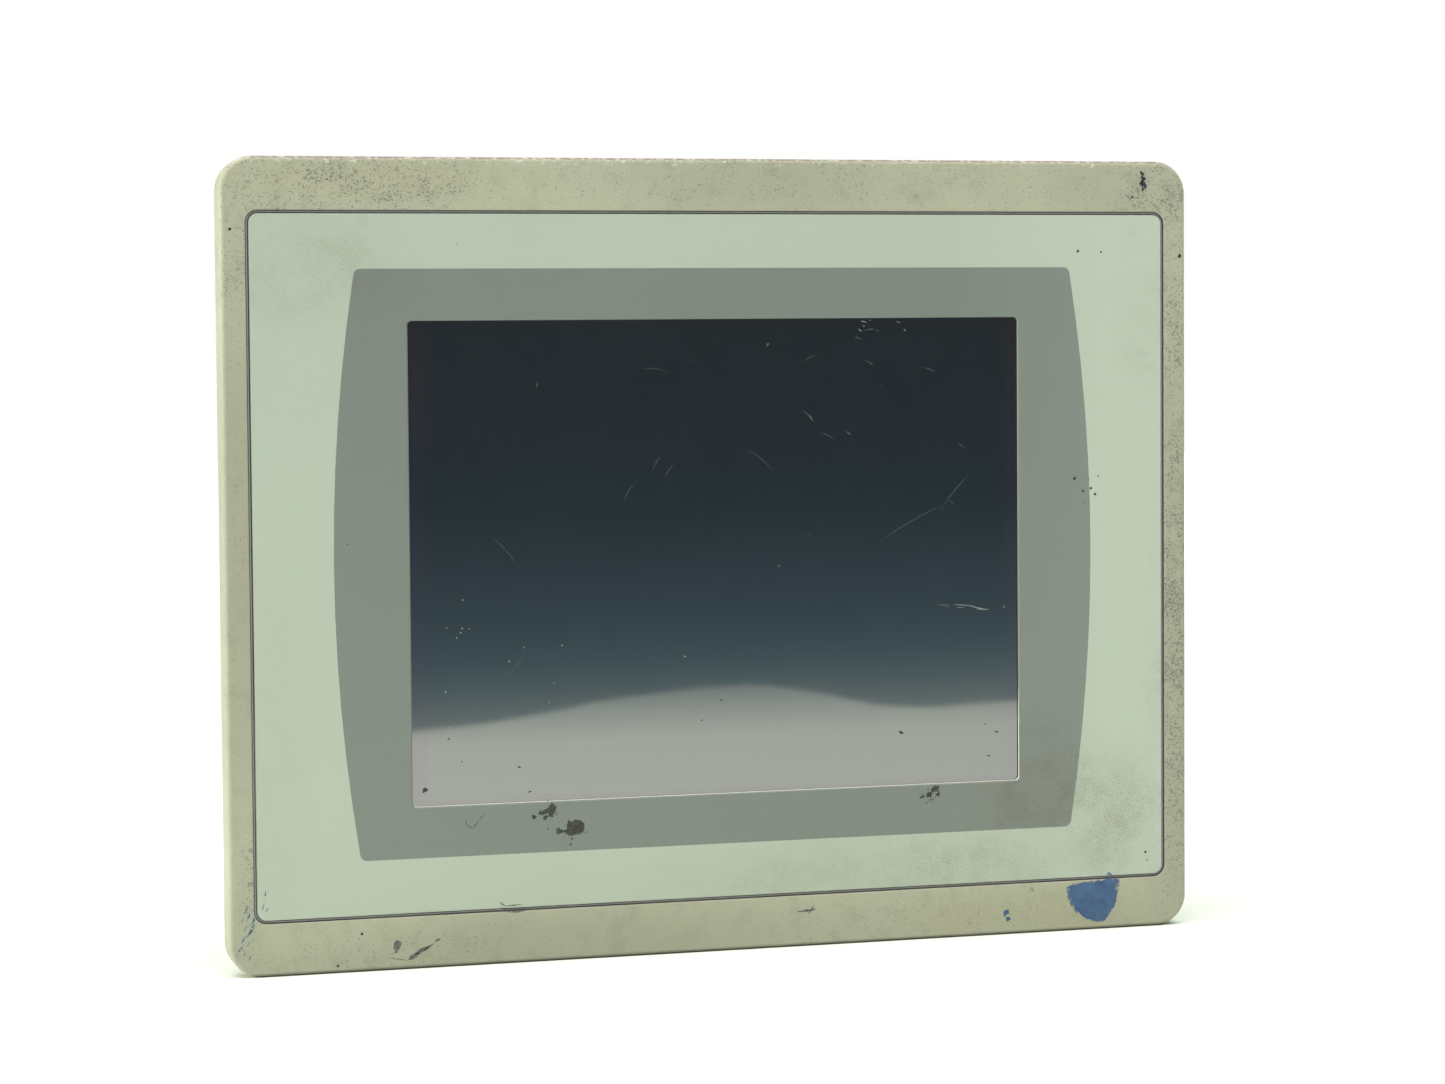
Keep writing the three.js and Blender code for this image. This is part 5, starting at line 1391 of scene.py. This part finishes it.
# ---------------------------------------------------------------------------------------------------
# Reset button and the two lamps beside it: a black cap with a dished end, and two domed lenses.
cap = bmesh.new()
turned(cap, [(0, sill - 0.85), (1.2, sill - 0.95), (1.75, sill - 1.2), (2.1, sill - 1.0), (2.2, sill - 0.7),
             (2.2, sill + 2), (3.2, sill + 2), (3.2, sill + 3.4), (0, sill + 3.4)], (reset_x, port_y, 0),
       axis="z", steps=32)
piece("reset_cap", cap, [moulded_black], body="reset", replaces=["reset_button"])
for name, x, finish, slot in (("power", power_x, lens_green, "green_lens"),
                              ("fault", fault_x, lens_amber, "amber_lens")):
    lens_mesh = bmesh.new()
    turned(lens_mesh, [(0, sill - 0.8), (0.6, sill - 0.72), (1.1, sill - 0.48), (1.4, sill - 0.1),
                       (1.5, sill + 0.4),
                       (1.5, sill + 4), (0, sill + 4)], (x, port_y, 0), axis="z", steps=28)
    piece(f"{name}_lens", lens_mesh, [finish], replaces=[f"{name}_lamp"])

# ---------------------------------------------------------------------------------------------------
# What lies inside. The display stack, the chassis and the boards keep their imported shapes, and are seen
# only through the slots and sockets. Each takes the surface of what it is made of.
# Fibreglass laminate under green solder mask: glossy, with darker lines where tracks run under the mask.
laminate, tree = new_material("fibreglass_with_green_solder_mask")
mm = millimetres(tree)
tracks = node(tree, "TexBrick", {"Vector": mm, "Scale": 0.22, "Mortar Size": 0.05,
                                 "Color1": linear("1f6b41"),
                                 "Color2": linear("1b6039"), "Mortar": linear("2f8555")})
weave = node(tree, "TexNoise", {"Vector": mm, "Scale": 1.2, "Detail": 2.0})
mask_tone = blend_colours(tree, weave.outputs["Fac"], tracks.outputs["Color"], linear("174f31"), 0.4)
shade = node(tree, "BsdfPrincipled", {"Base Color": mask_tone, "Roughness": 0.3, "IOR": 1.55})
node(tree, "OutputMaterial", {"Surface": shade.outputs["BSDF"]})
# Copper on polyimide film, amber brown and shiny, and a wound transformer in amber tape.
polyimide = worked_surface("copper_on_polyimide_film", "c08a3e", "9c6a2a", 1.0, (0.2, 0.35),
                           stretch=(3, 1, 0.2))
wound_coil = worked_surface("varnished_copper_winding", "b77b3a", "8a5526", 0.6, (0.3, 0.45),
                            stretch=(0.3, 1, 4))
bright_frame = worked_surface("tin_plated_steel_frame", "bfc2c1", "a4a8a8", 2.0, (0.28, 0.42), metallic=1.0)
cell_glass = worked_surface("display_cell_glass", "23282b", "1a1e21", 8.0, (0.05, 0.12), ior=1.52)
light_acrylic = worked_surface("clear_cast_acrylic", "e6ebe8", "dde3e1", 6.0, (0.08, 0.16), ior=1.49)
tube_glass = worked_surface("white_phosphor_tube_glass", "f2f3ee", "e4e6e0", 3.0, (0.12, 0.2), ior=1.52)
anodised = worked_surface("extruded_anodised_aluminium", "8f9396", "777b7f", 0.8, (0.3, 0.45), metallic=0.9,
                                stretch=(3, 3, 0.1))
seal_foam = worked_surface("open_cell_sealing_foam", "3d3d3b", "2a2a29", 0.7, (0.9, 0.98), relief=0.1)
cell_steel = worked_surface("pressed_stainless_can", "c3c5c4", "a6a9a9", 1.5, (0.2, 0.32), metallic=1.0)
packed_finishes = {
    "touch_gasket": seal_foam, "lcd_frame": bright_frame, "lcd_panel": cell_glass,
    "light_guide": light_acrylic,
    "backlight_tube_upper": tube_glass, "backlight_tube_lower": tube_glass, "lcd_tray": bright_frame,
    "display_chassis": galvanised, "inverter_board": laminate, "inverter_transformer": wound_coil,
    "interface_board": laminate, "link_connector": moulded_black, "touch_flex_cable": polyimide,
    "logic_module_plate": galvanised, "logic_board": laminate, "heat_sink": anodised,
    "memory_module": laminate, "battery_holder": moulded_black, "battery": cell_steel,
    "card_slot": nickel_shell, "indicator_housing": moulded_black,
}
for name, finish in packed_finishes.items():
    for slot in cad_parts[name].material_slots:
        slot.material = finish
